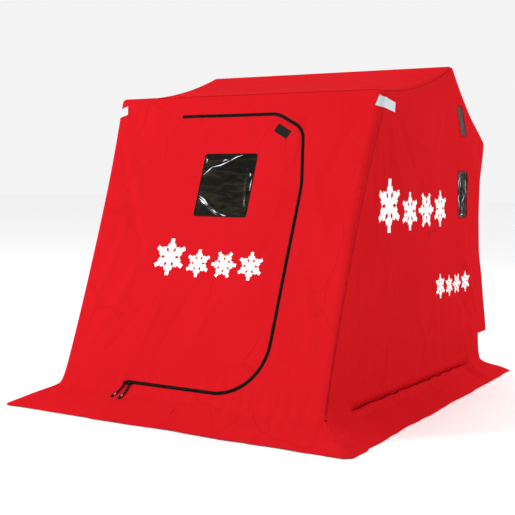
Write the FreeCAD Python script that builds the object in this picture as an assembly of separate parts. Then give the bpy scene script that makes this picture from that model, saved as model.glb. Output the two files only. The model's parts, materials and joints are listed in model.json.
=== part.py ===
import FreeCAD, Part
import math
import os

# Two-person flip-over ice fishing shelter, in millimetres.
# X runs across the shelter, the door faces -Y, the sled lies at +Y, and Z is up.
# The origin is on the floor, at the middle of the skirt's rectangle.
# Four bows swing on one bolt on each side of the sled.  Each has two outer legs, a bent
# hoop that telescopes in them, two corner caps that spread the fabric, and two lock knobs.

Vector = FreeCAD.Vector

# ---- fabric shell, outer surface ----
FABRIC = 2.0                       # thickness of a fabric panel
SEAM = 3.0                         # how far a panel stops short of the next one
FRONT_TOP = (779.0, -347.0, 1561.0)
RIDGE = (779.0, 556.0, 1739.0)
REAR_TOP = (790.0, 1051.0, 1338.0)
REAR_WAIST = (776.0, 992.0, 800.0)
RIM_REAR = (829.0, 1034.0, 243.0)
RIM_NOTCH = (829.0, 905.0, 215.0)
FOOT_REAR = (830.0, 882.0, 95.0)
FOOT_FRONT = (745.0, -895.0, 95.0)
SIDE_MIDDLE = (783.0, 180.0, 800.0)

# ---- skirt ----
SKIRT_HALF_WIDTH = 971.0
SKIRT_HALF_DEPTH = 1095.0
SKIRT_THICKNESS = 2.5
SKIRT_TOP = 92.0
SKIRT_SPLIT_Y = 150.0

# ---- sled ----
SLED_HALF_WIDTH = 785.0
SLED_FRONT, SLED_REAR = 150.0, 1030.0
SLED_HEIGHT = 260.0
SLED_WALL = 5.0
RIM_WIDTH = 38.0
LIP_DEPTH = 22.0
RUNNER_HEIGHT = 10.0
RUNNER_WIDTH = 44.0
RUNNER_X = (-560.0, -280.0, 0.0, 280.0, 560.0)

SCREW_RADIUS = 3.0
BATTEN_Y, BATTEN_Z = 1036.6, 251.0
BATTEN_THICKNESS = 3.0
BATTEN_HALF_HEIGHT = 8.0
BATTEN_HALF_LENGTH = 640.0
BATTEN_SCREW_X = (-600.0, -360.0, -120.0, 120.0, 360.0, 600.0)

# ---- pivot brackets ----
BRACKET_OUTER, BRACKET_INNER = 764.0, 640.0
BRACKET_PLATE = 4.0
BRACKET_HALF_DEPTH = 40.0
BRACKET_SCREW_X = 775.5
BRACKET_SCREW_Y = (228.0, 272.0)

# ---- bows ----
PIVOT_Y, PIVOT_Z = 250.0, 320.0
BOLT_RADIUS = 5.0
RUNNING = 0.06                     # radial clearance of what turns on a bolt
OUTER_TUBE, HOOP_TUBE, TUBE_WALL = 25.4, 22.0, 1.5
LEG_LENGTH = 760.0                 # outer leg, from the pivot
HOOP_OVERLAP = 100.0               # hoop inside the outer leg when it is drawn out
HOOP_BEND = 45.0
CAP_HALF_THICKNESS = 15.0
KNOB_FROM_TOP = 25.0
# name: (radius of the crossbar, degrees up from +Y, x of the legs, x that the cap reaches)
BOWS = {
    "rear": (1250.0, 51.8, 745.0, 784.0),
    "front": (1342.0, 115.7, 717.0, 774.0),
    "ridge": (1421.0, 77.8, 689.0, 774.0),
    "ground": (1143.6, 193.9, 661.0, 739.0),
}

# ---- door, in the front wall's own plane: x across, s up the slope from the foot ----
DOOR_LEFT, DOOR_RIGHT = -345.0, 411.0
DOOR_BOTTOM, DOOR_TOP = 55.0, 1453.0
DOOR_GAP = 1.0
ZIP_WIDTH = 12.0
WINDOW_HALF_WIDTH = 152.0
WINDOW_LOW, WINDOW_HIGH = 919.0, 1244.0
PANE, PANE_BORDER = 0.8, 14.0

# ---- seats ----
SEAT_X, SEAT_Y = 300.0, 600.0
RAIL_Y = (440.0, 760.0)
RAIL_TUBE = 25.0
RAIL_HALF_LENGTH = 772.0
RAIL_SCREW_X = 764.0
PAN_LOW = 310.6
CUSHION_LOW, CUSHION_HIGH = 331.0, 391.0
EAR_X = 191.0
SEAT_HALF = 190.0
BACK_AXIS_Y, BACK_AXIS_Z = 795.0, 418.0
BACK_RECLINE = 8.0

# ---- tow holes ----
TOW_X, TOW_Z = 420.0, 165.0
TOW_BORE, TOW_OUTER, TOW_FLANGE = 8.0, 11.0, 16.0
GROMMET_GRIP = 5.6                 # between a bush's flanges, on the sloping wall


# ------------------------------------------------------------------ helpers

def box(x0, x1, y0, y1, z0, z1):
    return Part.makeBox(x1 - x0, y1 - y0, z1 - z0, Vector(x0, y0, z0))


def cylinder(radius, start, end):
    start, end = Vector(*start), Vector(*end)
    return Part.makeCylinder(radius, (end - start).Length, start, end - start)


def mirrored(shape):
    """The same piece on the other side of the shelter."""
    return shape.mirror(Vector(0, 0, 0), Vector(1, 0, 0))


def both(shape):
    """A piece and its mirror image, as separate solids of one node."""
    return Part.makeCompound([shape, mirrored(shape)])


def fused(shapes):
    return shapes[0].fuse(shapes[1:]).removeSplitter()


def sheet(points, faces, offset):
    """A closed solid: flat faces over numbered points, thickened by one offset vector."""
    outer = [Vector(*p) for p in points]
    inner = [p + Vector(*offset) for p in outer]
    skins, used = [], {}
    for face in faces:
        for layer in (outer, inner):
            loop = [layer[i] for i in face]
            skins.append(Part.Face(Part.makePolygon(loop + loop[:1])))
        for a, b in zip(face, face[1:] + face[:1]):
            used.setdefault(frozenset((a, b)), []).append((a, b))
    for edges in used.values():
        if len(edges) == 1:
            a, b = edges[0]
            loop = [outer[a], outer[b], inner[b], inner[a]]
            skins.append(Part.Face(Part.makePolygon(loop + loop[:1])))
    solid = Part.Solid(Part.Shell(skins))
    solid.fix(0.01, 0.01, 0.01)
    return solid if solid.Volume > 0 else solid.reversed()


def rounded_outline(corners):
    """A closed wire in the XY plane through (x, y, radius) corners, rounded by tangent arcs."""
    edges, ends = [], []
    count = len(corners)
    for i, (x, y, radius) in enumerate(corners):
        here = Vector(x, y, 0)
        back = Vector(corners[i - 1][0], corners[i - 1][1], 0) - here
        ahead = Vector(corners[(i + 1) % count][0], corners[(i + 1) % count][1], 0) - here
        back.normalize()
        ahead.normalize()
        half = back.getAngle(ahead) / 2
        if radius == 0:
            ends.append((here, here))
            continue
        reach = radius / math.tan(half)
        start, end = here + back * reach, here + ahead * reach
        bisector = (back + ahead).normalize()
        middle = here + bisector * (radius / math.sin(half) - radius)
        edges.append((i, Part.Arc(start, middle, end).toShape()))
        ends.append((start, end))
    arcs = dict(edges)
    path = []
    for i in range(count):
        if i in arcs:
            path.append(arcs[i])
        path.append(Part.LineSegment(ends[i][1], ends[(i + 1) % count][0]).toShape())
    return Part.Wire(path)


def rounded_rectangle(half_x, y0, y1, radius, z):
    corners = [(-half_x, y0), (half_x, y0), (half_x, y1), (-half_x, y1)]
    wire = rounded_outline([(x, y, radius) for x, y in corners])
    wire.translate(Vector(0, 0, z))
    return wire


def slab(wire, z0, z1):
    """A flat wire in the XY plane, as a solid from z0 to z1."""
    face = Part.Face(wire)
    face.translate(Vector(0, 0, z0))
    return face.extrude(Vector(0, 0, z1 - z0))


# ------------------------------------------------------------------ sled

def tub(inset, floor, top):
    """The tapered inside or outside of the tub, with its sloping end walls."""
    low = rounded_rectangle(700 - inset, 215 + inset, 940 - inset, 90 - inset, floor)
    high = rounded_rectangle(747 - inset, 188 + inset, 992 - inset, 110 - inset, top)
    return Part.makeLoft([low, high], True, True)


def tow_hole_frame():
    """Where a tow hole crosses the sloping rear wall: a point on its face, and its normal."""
    rise = SLED_HEIGHT - RUNNER_HEIGHT
    share = (TOW_Z - RUNNER_HEIGHT) / rise
    run = 992.0 - 940.0
    normal = Vector(0, rise, -run)
    normal.normalize()
    return Vector(TOW_X, 940.0 + share * run, TOW_Z), normal


def sled_hull():
    body = tub(0, RUNNER_HEIGHT, SLED_HEIGHT)
    rim = slab(rounded_rectangle(SLED_HALF_WIDTH, SLED_FRONT, SLED_REAR, 130, 0),
               SLED_HEIGHT - SLED_WALL, SLED_HEIGHT)
    lip_outer = rounded_rectangle(SLED_HALF_WIDTH, SLED_FRONT, SLED_REAR, 130, 0)
    lip_inner = rounded_rectangle(SLED_HALF_WIDTH - SLED_WALL, SLED_FRONT + SLED_WALL,
                                  SLED_REAR - SLED_WALL, 130 - SLED_WALL, 0)
    low = SLED_HEIGHT - LIP_DEPTH
    lip = slab(lip_outer, low, SLED_HEIGHT).cut(slab(lip_inner, low, SLED_HEIGHT))
    hollow = tub(SLED_WALL, RUNNER_HEIGHT + SLED_WALL, SLED_HEIGHT + 1)
    hull = fused([body, rim, lip]).cut(hollow)
    runners = []
    for x in RUNNER_X:
        outline = [(x - RUNNER_WIDTH / 2, 260, 10), (x + RUNNER_WIDTH / 2, 260, 10),
                   (x + RUNNER_WIDTH / 2, 900, 10), (x - RUNNER_WIDTH / 2, 900, 10)]
        runners.append(slab(rounded_outline(outline), 0, RUNNER_HEIGHT + 2))
    hull = fused([hull] + runners)
    spot, normal = tow_hole_frame()
    hole = Part.makeCylinder(TOW_OUTER, 60, spot - normal * 30, normal)
    return hull.cut([hole, mirrored(hole)])


def tow_grommets():
    spot, normal = tow_hole_frame()
    inner_end = spot - normal * (GROMMET_GRIP + 2.5)
    ring = fused([
        Part.makeCylinder(TOW_OUTER, GROMMET_GRIP + 5, inner_end, normal),
        Part.makeCylinder(TOW_FLANGE, 2.5, spot, normal),
        Part.makeCylinder(TOW_FLANGE, 2.5, inner_end, normal),
    ])
    return both(ring.cut(Part.makeCylinder(TOW_BORE, 60, spot - normal * 30, normal)))


def seat_rail(y):
    half = RAIL_TUBE / 2
    low = SLED_HEIGHT
    tube = box(-RAIL_HALF_LENGTH, RAIL_HALF_LENGTH, y - half, y + half, low, low + RAIL_TUBE)
    core = box(-RAIL_HALF_LENGTH, RAIL_HALF_LENGTH, y - half + TUBE_WALL,
               y + half - TUBE_WALL, low + TUBE_WALL, low + RAIL_TUBE - TUBE_WALL)
    tube = tube.cut(core)
    for x in (-RAIL_SCREW_X, RAIL_SCREW_X):
        tube = tube.cut(cylinder(SCREW_RADIUS, (x, y, low - 1), (x, y, low + RAIL_TUBE + 1)))
    return tube


def pivot_bracket():
    """A folded steel saddle on the rim, with one lug each side of the four legs."""
    y0, y1 = PIVOT_Y - BRACKET_HALF_DEPTH, PIVOT_Y + BRACKET_HALF_DEPTH
    base = box(BRACKET_INNER, 783, y0, y1, SLED_HEIGHT, SLED_HEIGHT + BRACKET_PLATE)
    solids = [base]
    for x in (BRACKET_OUTER - BRACKET_PLATE, BRACKET_INNER):
        lug = box(x, x + BRACKET_PLATE, PIVOT_Y - 24, PIVOT_Y + 24, SLED_HEIGHT, PIVOT_Z)
        round_end = cylinder(24, (x, PIVOT_Y, PIVOT_Z), (x + BRACKET_PLATE, PIVOT_Y, PIVOT_Z))
        solids += [lug, round_end]
    bracket = fused(solids)
    bolt_hole = cylinder(BOLT_RADIUS + RUNNING, (600, PIVOT_Y, PIVOT_Z),
                         (800, PIVOT_Y, PIVOT_Z))
    bracket = bracket.cut(bolt_hole)
    for y in BRACKET_SCREW_Y:
        bracket = bracket.cut(cylinder(SCREW_RADIUS, (BRACKET_SCREW_X, y, SLED_HEIGHT - 1),
                                       (BRACKET_SCREW_X, y, SLED_HEIGHT + 10)))
    return bracket


def hexagon(across_flats, start, length, axis):
    """A hexagonal head or nut on an axis along X, Y or Z."""
    radius = across_flats / math.sqrt(3)
    points = [Vector(radius * math.cos(math.radians(60 * i)),
                     radius * math.sin(math.radians(60 * i)), 0) for i in range(7)]
    solid = Part.Face(Part.makePolygon(points)).extrude(Vector(0, 0, length))
    solid.Placement = FreeCAD.Placement(Vector(*start),
                                        FreeCAD.Rotation(Vector(0, 0, 1), Vector(*axis)))
    return solid


def pivot_bolts():
    head_from = BRACKET_OUTER
    bolt = fused([
        cylinder(BOLT_RADIUS, (632, PIVOT_Y, PIVOT_Z), (head_from, PIVOT_Y, PIVOT_Z)),
        hexagon(16, (head_from, PIVOT_Y, PIVOT_Z), 6.5, (1, 0, 0)),
    ])
    nut = hexagon(16, (BRACKET_INNER - 7, PIVOT_Y, PIVOT_Z), 7, (1, 0, 0))
    return both(fused([bolt, nut]))


def sled_fasteners():
    """Hexagon screws that hold the brackets and the rails, and the batten's pan screws."""
    screws = []
    for x in (-BRACKET_SCREW_X, BRACKET_SCREW_X):
        for y in BRACKET_SCREW_Y:
            top = SLED_HEIGHT + BRACKET_PLATE
            screws.append(fused([
                cylinder(SCREW_RADIUS, (x, y, top - BRACKET_PLATE), (x, y, top)),
                hexagon(10, (x, y, top), 4, (0, 0, 1)),
            ]))
    for x in (-RAIL_SCREW_X, RAIL_SCREW_X):
        for y in RAIL_Y:
            top = SLED_HEIGHT + RAIL_TUBE
            screws.append(fused([
                cylinder(SCREW_RADIUS, (x, y, SLED_HEIGHT), (x, y, top)),
                hexagon(10, (x, y, top), 4, (0, 0, 1)),
            ]))
    for x in BATTEN_SCREW_X:
        face = BATTEN_Y + BATTEN_THICKNESS
        screws.append(fused([
            cylinder(SCREW_RADIUS, (x, BATTEN_Y, BATTEN_Z), (x, face, BATTEN_Z)),
            cylinder(6, (x, face, BATTEN_Z), (x, face + 2.5, BATTEN_Z)),
        ]))
    return Part.makeCompound(screws)


def rear_batten():
    """The flat strip that clamps the back wall's hem to the sled's rim."""
    strip = box(-BATTEN_HALF_LENGTH, BATTEN_HALF_LENGTH, BATTEN_Y,
                BATTEN_Y + BATTEN_THICKNESS, BATTEN_Z - BATTEN_HALF_HEIGHT,
                BATTEN_Z + BATTEN_HALF_HEIGHT)
    for x in BATTEN_SCREW_X:
        strip = strip.cut(cylinder(SCREW_RADIUS, (x, BATTEN_Y - 1, BATTEN_Z),
                                   (x, BATTEN_Y + 10, BATTEN_Z)))
    return strip


# ------------------------------------------------------------------ bows
# A bow is built standing straight up over the origin, then turned and moved to the pivot.

def placed_on_pivot(shape, degrees_up):
    turn = FreeCAD.Rotation(Vector(1, 0, 0), degrees_up - 90)
    shape.Placement = FreeCAD.Placement(Vector(0, PIVOT_Y, PIVOT_Z), turn)
    return shape


def outer_leg(x):
    half, core = OUTER_TUBE / 2, OUTER_TUBE / 2 - TUBE_WALL
    tube = box(x - half, x + half, -half, half, -15, LEG_LENGTH)
    tube = tube.cut(box(x - core, x + core, -core, core, -16, LEG_LENGTH + 1))
    knob_z = LEG_LENGTH - KNOB_FROM_TOP
    boss = cylinder(8, (x - half - 6, 0, knob_z), (x - half, 0, knob_z))
    leg = fused([tube, boss])
    thread = cylinder(4 + RUNNING, (x - half - 7, 0, knob_z), (x - core, 0, knob_z))
    bolt_hole = cylinder(BOLT_RADIUS + RUNNING, (x - 20, 0, 0), (x + 20, 0, 0))
    return leg.cut([thread, bolt_hole])


def arch(half_span, top, bottom, half_width):
    """A flat upside-down U, as wide as twice half_width all round, extruded to a square bar."""
    half_pi = math.pi / 2

    def side(offset, z_end):
        reach, radius = half_span + offset, HOOP_BEND + offset
        centre_x, centre_z = half_span - HOOP_BEND, top - HOOP_BEND
        points = [Vector(-reach, 0, z_end), Vector(-reach, 0, centre_z)]
        arcs = []
        for sign in (-1, 1):
            middle = Vector(sign * (centre_x + radius * math.cos(half_pi / 2)), 0,
                            centre_z + radius * math.sin(half_pi / 2))
            arcs.append(middle)
        across = [Vector(-centre_x, 0, centre_z + radius), Vector(centre_x, 0, centre_z + radius)]
        down = [Vector(reach, 0, centre_z), Vector(reach, 0, z_end)]
        return [
            Part.LineSegment(points[0], points[1]).toShape(),
            Part.Arc(points[1], arcs[0], across[0]).toShape(),
            Part.LineSegment(across[0], across[1]).toShape(),
            Part.Arc(across[1], arcs[1], down[0]).toShape(),
            Part.LineSegment(down[0], down[1]).toShape(),
        ]

    outer, inner = side(half_width, bottom), side(-half_width, bottom)
    closing = []
    for sign in (-1, 1):
        closing.append(Part.LineSegment(
            Vector(sign * (half_span + half_width), 0, bottom),
            Vector(sign * (half_span - half_width), 0, bottom)).toShape())
    wire = Part.Wire(Part.__sortEdges__(outer + inner + closing))
    solid = Part.Face(wire).extrude(Vector(0, 2 * half_width, 0))
    solid.translate(Vector(0, -half_width, 0))
    return solid


def hoop(radius, leg_x):
    bottom = LEG_LENGTH - HOOP_OVERLAP
    half = HOOP_TUBE / 2
    bar = arch(leg_x, radius, bottom, half)
    return bar.cut(arch(leg_x, radius, bottom - 5, half - TUBE_WALL))


def corner_cap(radius, leg_x, reach):
    """A moulded corner block round the hoop's bend, with a rounded shoulder for the fabric."""
    inner_x, low, high = leg_x - 28, radius - 48, radius + HOOP_TUBE / 2 + 3
    outline = [(inner_x, low, 6), (reach, low, 6), (reach, high, 26), (inner_x, high, 4)]
    block = slab(rounded_outline(outline), -CAP_HALF_THICKNESS, CAP_HALF_THICKNESS)
    block.Placement = FreeCAD.Placement(Vector(0, 0, 0),
                                        FreeCAD.Rotation(Vector(1, 0, 0), 90))
    return block.cut(arch(leg_x, radius, low - 10, HOOP_TUBE / 2))


def lock_knob(x):
    """A seven-lobed clamping knob whose screw stops just short of the hoop."""
    z = LEG_LENGTH - KNOB_FROM_TOP
    face = x - OUTER_TUBE / 2 - 6.5
    head = cylinder(13, (face - 15, 0, z), (face, 0, z))
    lobes = []
    for i in range(7):
        turn = math.radians(360 / 7 * i)
        y, up = 12 * math.cos(turn), 12 * math.sin(turn)
        lobes.append(cylinder(4, (face - 14, y, z + up), (face - 1, y, z + up)))
    screw = cylinder(4, (face - 1, 0, z), (x - HOOP_TUBE / 2 - 0.4, 0, z))
    return fused([head, screw] + lobes)


# ------------------------------------------------------------------ fabric shell

def on_front_wall(shape):
    """Moves a piece from the XY plane to the front wall: Y becomes s, Z points outwards."""
    run, rise = FRONT_TOP[1] - FOOT_FRONT[1], FRONT_TOP[2] - FOOT_FRONT[2]
    turn = FreeCAD.Rotation(Vector(1, 0, 0), math.degrees(math.atan2(rise, run)))
    place = FreeCAD.Placement(Vector(0, FOOT_FRONT[1], FOOT_FRONT[2]), turn)
    shape.Placement = place.multiply(shape.Placement)
    return shape


def wall_length():
    return math.dist(FRONT_TOP[1:], FOOT_FRONT[1:])


def door_outline(grow=0.0):
    """The door: straight on its hinge side, cut off at the upper corner, round at the lower."""
    corners = [
        (DOOR_LEFT, DOOR_BOTTOM, 0), (DOOR_LEFT, DOOR_TOP, 0), (230, DOOR_TOP, 158),
        (382, 1373, 104), (427, 1090, 500), (DOOR_RIGHT, DOOR_BOTTOM, 264),
    ]
    wire = rounded_outline(corners)
    return wire.makeOffset2D(grow) if grow else wire


def front_wall():
    length = wall_length()
    corners = [(-FOOT_FRONT[0] + SEAM, 0), (FOOT_FRONT[0] - SEAM, 0),
               (FRONT_TOP[0] - SEAM, length - SEAM), (-FRONT_TOP[0] + SEAM, length - SEAM)]
    plate = slab(rounded_outline([(x, s, 0) for x, s in corners]), -FABRIC, 0)
    return on_front_wall(plate.cut(slab(door_outline(), -10, 10)))


def door_panel():
    plate = slab(door_outline(-DOOR_GAP), -FABRIC, 0)
    return on_front_wall(plate.cut(slab(window_outline(0), -10, 10)))


def window_outline(grow):
    half, radius = WINDOW_HALF_WIDTH + grow, 12 + grow
    low, high = WINDOW_LOW - grow, WINDOW_HIGH + grow
    return rounded_outline([(-half, low, radius), (half, low, radius),
                            (half, high, radius), (-half, high, radius)])


def door_window():
    back = -FABRIC - 0.3
    return on_front_wall(slab(window_outline(PANE_BORDER), back - PANE, back))


def door_zipper():
    """The wall's half of the zip: a raised band round the top, the free side and the bottom."""
    band = slab(door_outline(DOOR_GAP + ZIP_WIDTH), 0.3, 2.3)
    band = band.cut(slab(door_outline(DOOR_GAP), -1, 4))
    return on_front_wall(band.cut(box(-400, DOOR_LEFT - 2, 0, 1600, -2, 5)))


def door_patch():
    """The small hook-and-loop square under the door's cut corner."""
    outline = [(-44, -23, 4), (44, -23, 4), (44, 23, 4), (-44, 23, 4)]
    patch = slab(rounded_outline(outline), 0.3, 1.9)
    patch.Placement = FreeCAD.Placement(Vector(270, 1362, 0),
                                        FreeCAD.Rotation(Vector(0, 0, 1), -29))
    return on_front_wall(patch)


def zip_slider(x, lean):
    """A zip slider with its webbing pull, which hangs down over the wall."""
    s = DOOR_BOTTOM - 7
    slider = rounded_outline([(x - 15, s - 8, 3), (x + 15, s - 8, 3),
                              (x + 15, s + 8, 3), (x - 15, s + 8, 3)])
    body = slab(slider, 2.6, 10)
    strap = box(-5, 5, -44, 0, 4, 6)
    end = slab(rounded_outline([(-7, -48, 3), (7, -48, 3), (7, -28, 3), (-7, -28, 3)]), 3, 8)
    pull = fused([strap, end])
    pull.Placement = FreeCAD.Placement(Vector(x, s - 4, 0),
                                       FreeCAD.Rotation(Vector(0, 0, 1), lean))
    return on_front_wall(fused([body, pull]))


def roof_panel(front, rear):
    """A flat panel between two bows, inside the side walls' tops."""
    start, end = Vector(0, *front[1:]), Vector(0, *rear[1:])
    along = end - start
    along.normalize()
    start, end = start + along * SEAM, end - along * SEAM
    half_start, half_end = front[0] - SEAM, rear[0] - SEAM
    points = [(-half_start, start.y, start.z), (half_start, start.y, start.z),
              (half_end, end.y, end.z), (-half_end, end.y, end.z)]
    normal = Vector(0, -along.z, along.y)
    return sheet(points, [(0, 1, 2, 3)], tuple(normal * -FABRIC))


def back_wall():
    """The back wall, drawn in at the waist, down to the sled's rim."""
    low = (RIM_REAR[0] - SEAM, RIM_REAR[1] + 2, RIM_REAR[2])
    rows = []
    for x, y, z in (REAR_TOP, REAR_WAIST, low):
        inset = SEAM if z > RIM_REAR[2] else 0
        rows += [(-x + SEAM, y, z - inset), (x - SEAM, y, z - inset)]
    return sheet(rows, [(0, 1, 3, 2), (2, 3, 5, 4)], (0, -FABRIC, 0))


def side_skin(inward, thickness):
    """The side wall's surface, a little inside the outer one, as flat facets round a middle."""
    rim = [SIDE_MIDDLE, FOOT_FRONT, FRONT_TOP, RIDGE, REAR_TOP, REAR_WAIST, RIM_REAR,
           RIM_NOTCH, FOOT_REAR]
    count = len(rim) - 1
    facets = [(0, i, i % count + 1) for i in range(1, count + 1)]
    points = [(x - inward, y, z) for x, y, z in rim]
    return sheet(points, facets, (-thickness, 0, 0))


def across(outline):
    """A hole or pane right through the side wall, from an outline in (y, z, radius)."""
    solid = slab(rounded_outline(outline), 700, 900)
    x_to_y_to_z_to_x = FreeCAD.Matrix(0, 0, 1, 0, 1, 0, 0, 0, 0, 1, 0, 0, 0, 0, 0, 1)
    return solid.transformGeometry(x_to_y_to_z_to_x)


def grown(outline, amount):
    """The same outline about its own middle, larger by about the amount on each side."""
    middle_y = sum(p[0] for p in outline) / len(outline)
    middle_z = sum(p[1] for p in outline) / len(outline)
    return [(y + math.copysign(amount, y - middle_y), z + math.copysign(amount, z - middle_z),
             radius + amount) for y, z, radius in outline]


SIDE_WINDOW = [(670, 912, 28), (800, 912, 28), (800, 1172, 10), (670, 1172, 10)]
SIDE_VENT = [(700, 1372, 8), (785, 1360, 8), (690, 1530, 8), (625, 1530, 8)]


def side_wall():
    wall = side_skin(0, FABRIC)
    return wall.cut([across(SIDE_WINDOW), across(SIDE_VENT)])


def side_pane(outline):
    return side_skin(FABRIC + 0.3, PANE).common(across(grown(outline, 10)))


def reflective_tab():
    """The pale strip sewn over the front bow's corner."""
    points = [(-362, 1458), (-258, 1446), (-262, 1506), (-340, 1518)]
    loop = [Vector(781.5, y, z) for y, z in points]
    return Part.Face(Part.makePolygon(loop + loop[:1])).extrude(Vector(1, 0, 0))


def skirt_line(y):
    """The x of the side wall's foot at a given y."""
    share = (y - FOOT_FRONT[1]) / (FOOT_REAR[1] - FOOT_FRONT[1])
    return FOOT_FRONT[0] + share * (FOOT_REAR[0] - FOOT_FRONT[0])


def skirt_front():
    """The skirt that the ground bow carries: the front strip, and both sides up to the sled."""
    low = SKIRT_THICKNESS
    front = FOOT_FRONT[1] - 2
    end = SKIRT_SPLIT_Y
    half = skirt_line(end)
    points = [
        (-half, end, SKIRT_TOP), (-FOOT_FRONT[0], front, SKIRT_TOP),
        (FOOT_FRONT[0], front, SKIRT_TOP), (half, end, SKIRT_TOP),
        (-SKIRT_HALF_WIDTH, end, low), (-SKIRT_HALF_WIDTH, -SKIRT_HALF_DEPTH, low),
        (SKIRT_HALF_WIDTH, -SKIRT_HALF_DEPTH, low), (SKIRT_HALF_WIDTH, end, low),
    ]
    faces = [(0, 1, 5), (0, 5, 4), (1, 2, 6, 5), (2, 3, 6), (3, 7, 6)]
    return sheet(points, faces, (0, 0, -SKIRT_THICKNESS))


def skirt_side():
    """The skirt beside the sled, which ends in a point behind the wall's rear foot."""
    low = SKIRT_THICKNESS
    start = SKIRT_SPLIT_Y + 1
    points = [(skirt_line(start), start, SKIRT_TOP), (FOOT_REAR[0], FOOT_REAR[1], SKIRT_TOP),
              (SKIRT_HALF_WIDTH, SKIRT_HALF_DEPTH, low), (SKIRT_HALF_WIDTH, start, low)]
    return sheet(points, [(0, 1, 2), (0, 2, 3)], (0, 0, -SKIRT_THICKNESS))


# ------------------------------------------------------------------ seats

def seat_carriage(x):
    """The plate that slides along both rails on four sleeves, and carries the swivel."""
    top = SLED_HEIGHT + RAIL_TUBE
    plate = box(x - 140, x + 140, RAIL_Y[0] - 20, RAIL_Y[1] + 20, top + 0.3, top + 5.3)
    post = cylinder(60, (x, SEAT_Y, top + 5), (x, SEAT_Y, top + 25))
    solids = [plate, post]
    for y in RAIL_Y:
        for across_x in (x - 115, x + 115):
            solids.append(box(across_x - 20, across_x + 20, y - 20, y + 20, 255, top + 1))
    carriage = fused(solids)
    half = RAIL_TUBE / 2 + 0.3
    for y in RAIL_Y:
        carriage = carriage.cut(box(x - 200, x + 200, y - half, y + half,
                                    SLED_HEIGHT - 0.3, top + 0.3))
    bore = cylinder(10 + RUNNING, (x, SEAT_Y, top), (x, SEAT_Y, top + 30))
    return carriage.cut(bore)


def seat_pan(x):
    """The moulded pan: a spigot in the swivel, a floor, and an ear with a pin at each side."""
    floor = slab(rounded_outline([
        (x - SEAT_HALF, SEAT_Y - SEAT_HALF, 40), (x + SEAT_HALF, SEAT_Y - SEAT_HALF, 40),
        (x + SEAT_HALF, SEAT_Y + SEAT_HALF, 40), (x - SEAT_HALF, SEAT_Y + SEAT_HALF, 40),
    ]), PAN_LOW, PAN_LOW + 20)
    spigot = cylinder(10, (x, SEAT_Y, 288), (x, SEAT_Y, PAN_LOW + 1))
    solids = [floor, spigot]
    for side in (-1, 1):
        inner = x + side * EAR_X
        outer = inner + side * 6
        low_x, high_x = min(inner, outer), max(inner, outer)
        arm = box(low_x, high_x, SEAT_Y + 60, BACK_AXIS_Y + 16, PAN_LOW, PAN_LOW + 18)
        post = box(low_x, high_x, BACK_AXIS_Y - 16, BACK_AXIS_Y + 16, PAN_LOW, BACK_AXIS_Z)
        eye = cylinder(16, (low_x, BACK_AXIS_Y, BACK_AXIS_Z), (high_x, BACK_AXIS_Y, BACK_AXIS_Z))
        foot_x = sorted((x + side * (SEAT_HALF - 10), inner))
        foot = box(foot_x[0], foot_x[1], SEAT_Y + 60, SEAT_Y + 140, PAN_LOW, PAN_LOW + 18)
        pin_x = sorted((inner - side * 18, inner))
        pin = cylinder(5, (pin_x[0], BACK_AXIS_Y, BACK_AXIS_Z), (pin_x[1], BACK_AXIS_Y, BACK_AXIS_Z))
        solids += [arm, post, eye, foot, pin]
    return fused(solids)


def seat_cushion(x):
    half = SEAT_HALF - 4
    pad = slab(rounded_outline([
        (x - half, SEAT_Y - half, 45), (x + half, SEAT_Y - half, 45),
        (x + half, SEAT_Y + half - 20, 30), (x - half, SEAT_Y + half - 20, 30),
    ]), CUSHION_LOW, CUSHION_HIGH)
    top_edges = [e for e in pad.Edges if e.BoundBox.ZMin > CUSHION_HIGH - 1]
    return pad.makeFillet(18, top_edges)


def seat_back(x):
    """The padded back, upright and a little reclined, with a hinge hole in each lower cheek."""
    half, thick = SEAT_HALF - 1.5, 20.0
    plate = slab(rounded_outline([
        (-half, -20, 12), (half, -20, 12), (half, 400, 70), (-half, 400, 70),
    ]), -thick, thick)
    plate.Placement = FreeCAD.Placement(Vector(0, 0, 0), FreeCAD.Rotation(Vector(1, 0, 0), 90))
    for side in (-1, 1):
        ends = sorted((side * (half + 5), side * (half - 30)))
        plate = plate.cut(cylinder(5 + RUNNING, (ends[0], 0, 0), (ends[1], 0, 0)))
    turn = FreeCAD.Rotation(Vector(1, 0, 0), -BACK_RECLINE)
    plate.Placement = FreeCAD.Placement(Vector(x, BACK_AXIS_Y, BACK_AXIS_Z), turn).multiply(
        plate.Placement)
    return plate


# ------------------------------------------------------------------ writing the nodes

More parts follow.
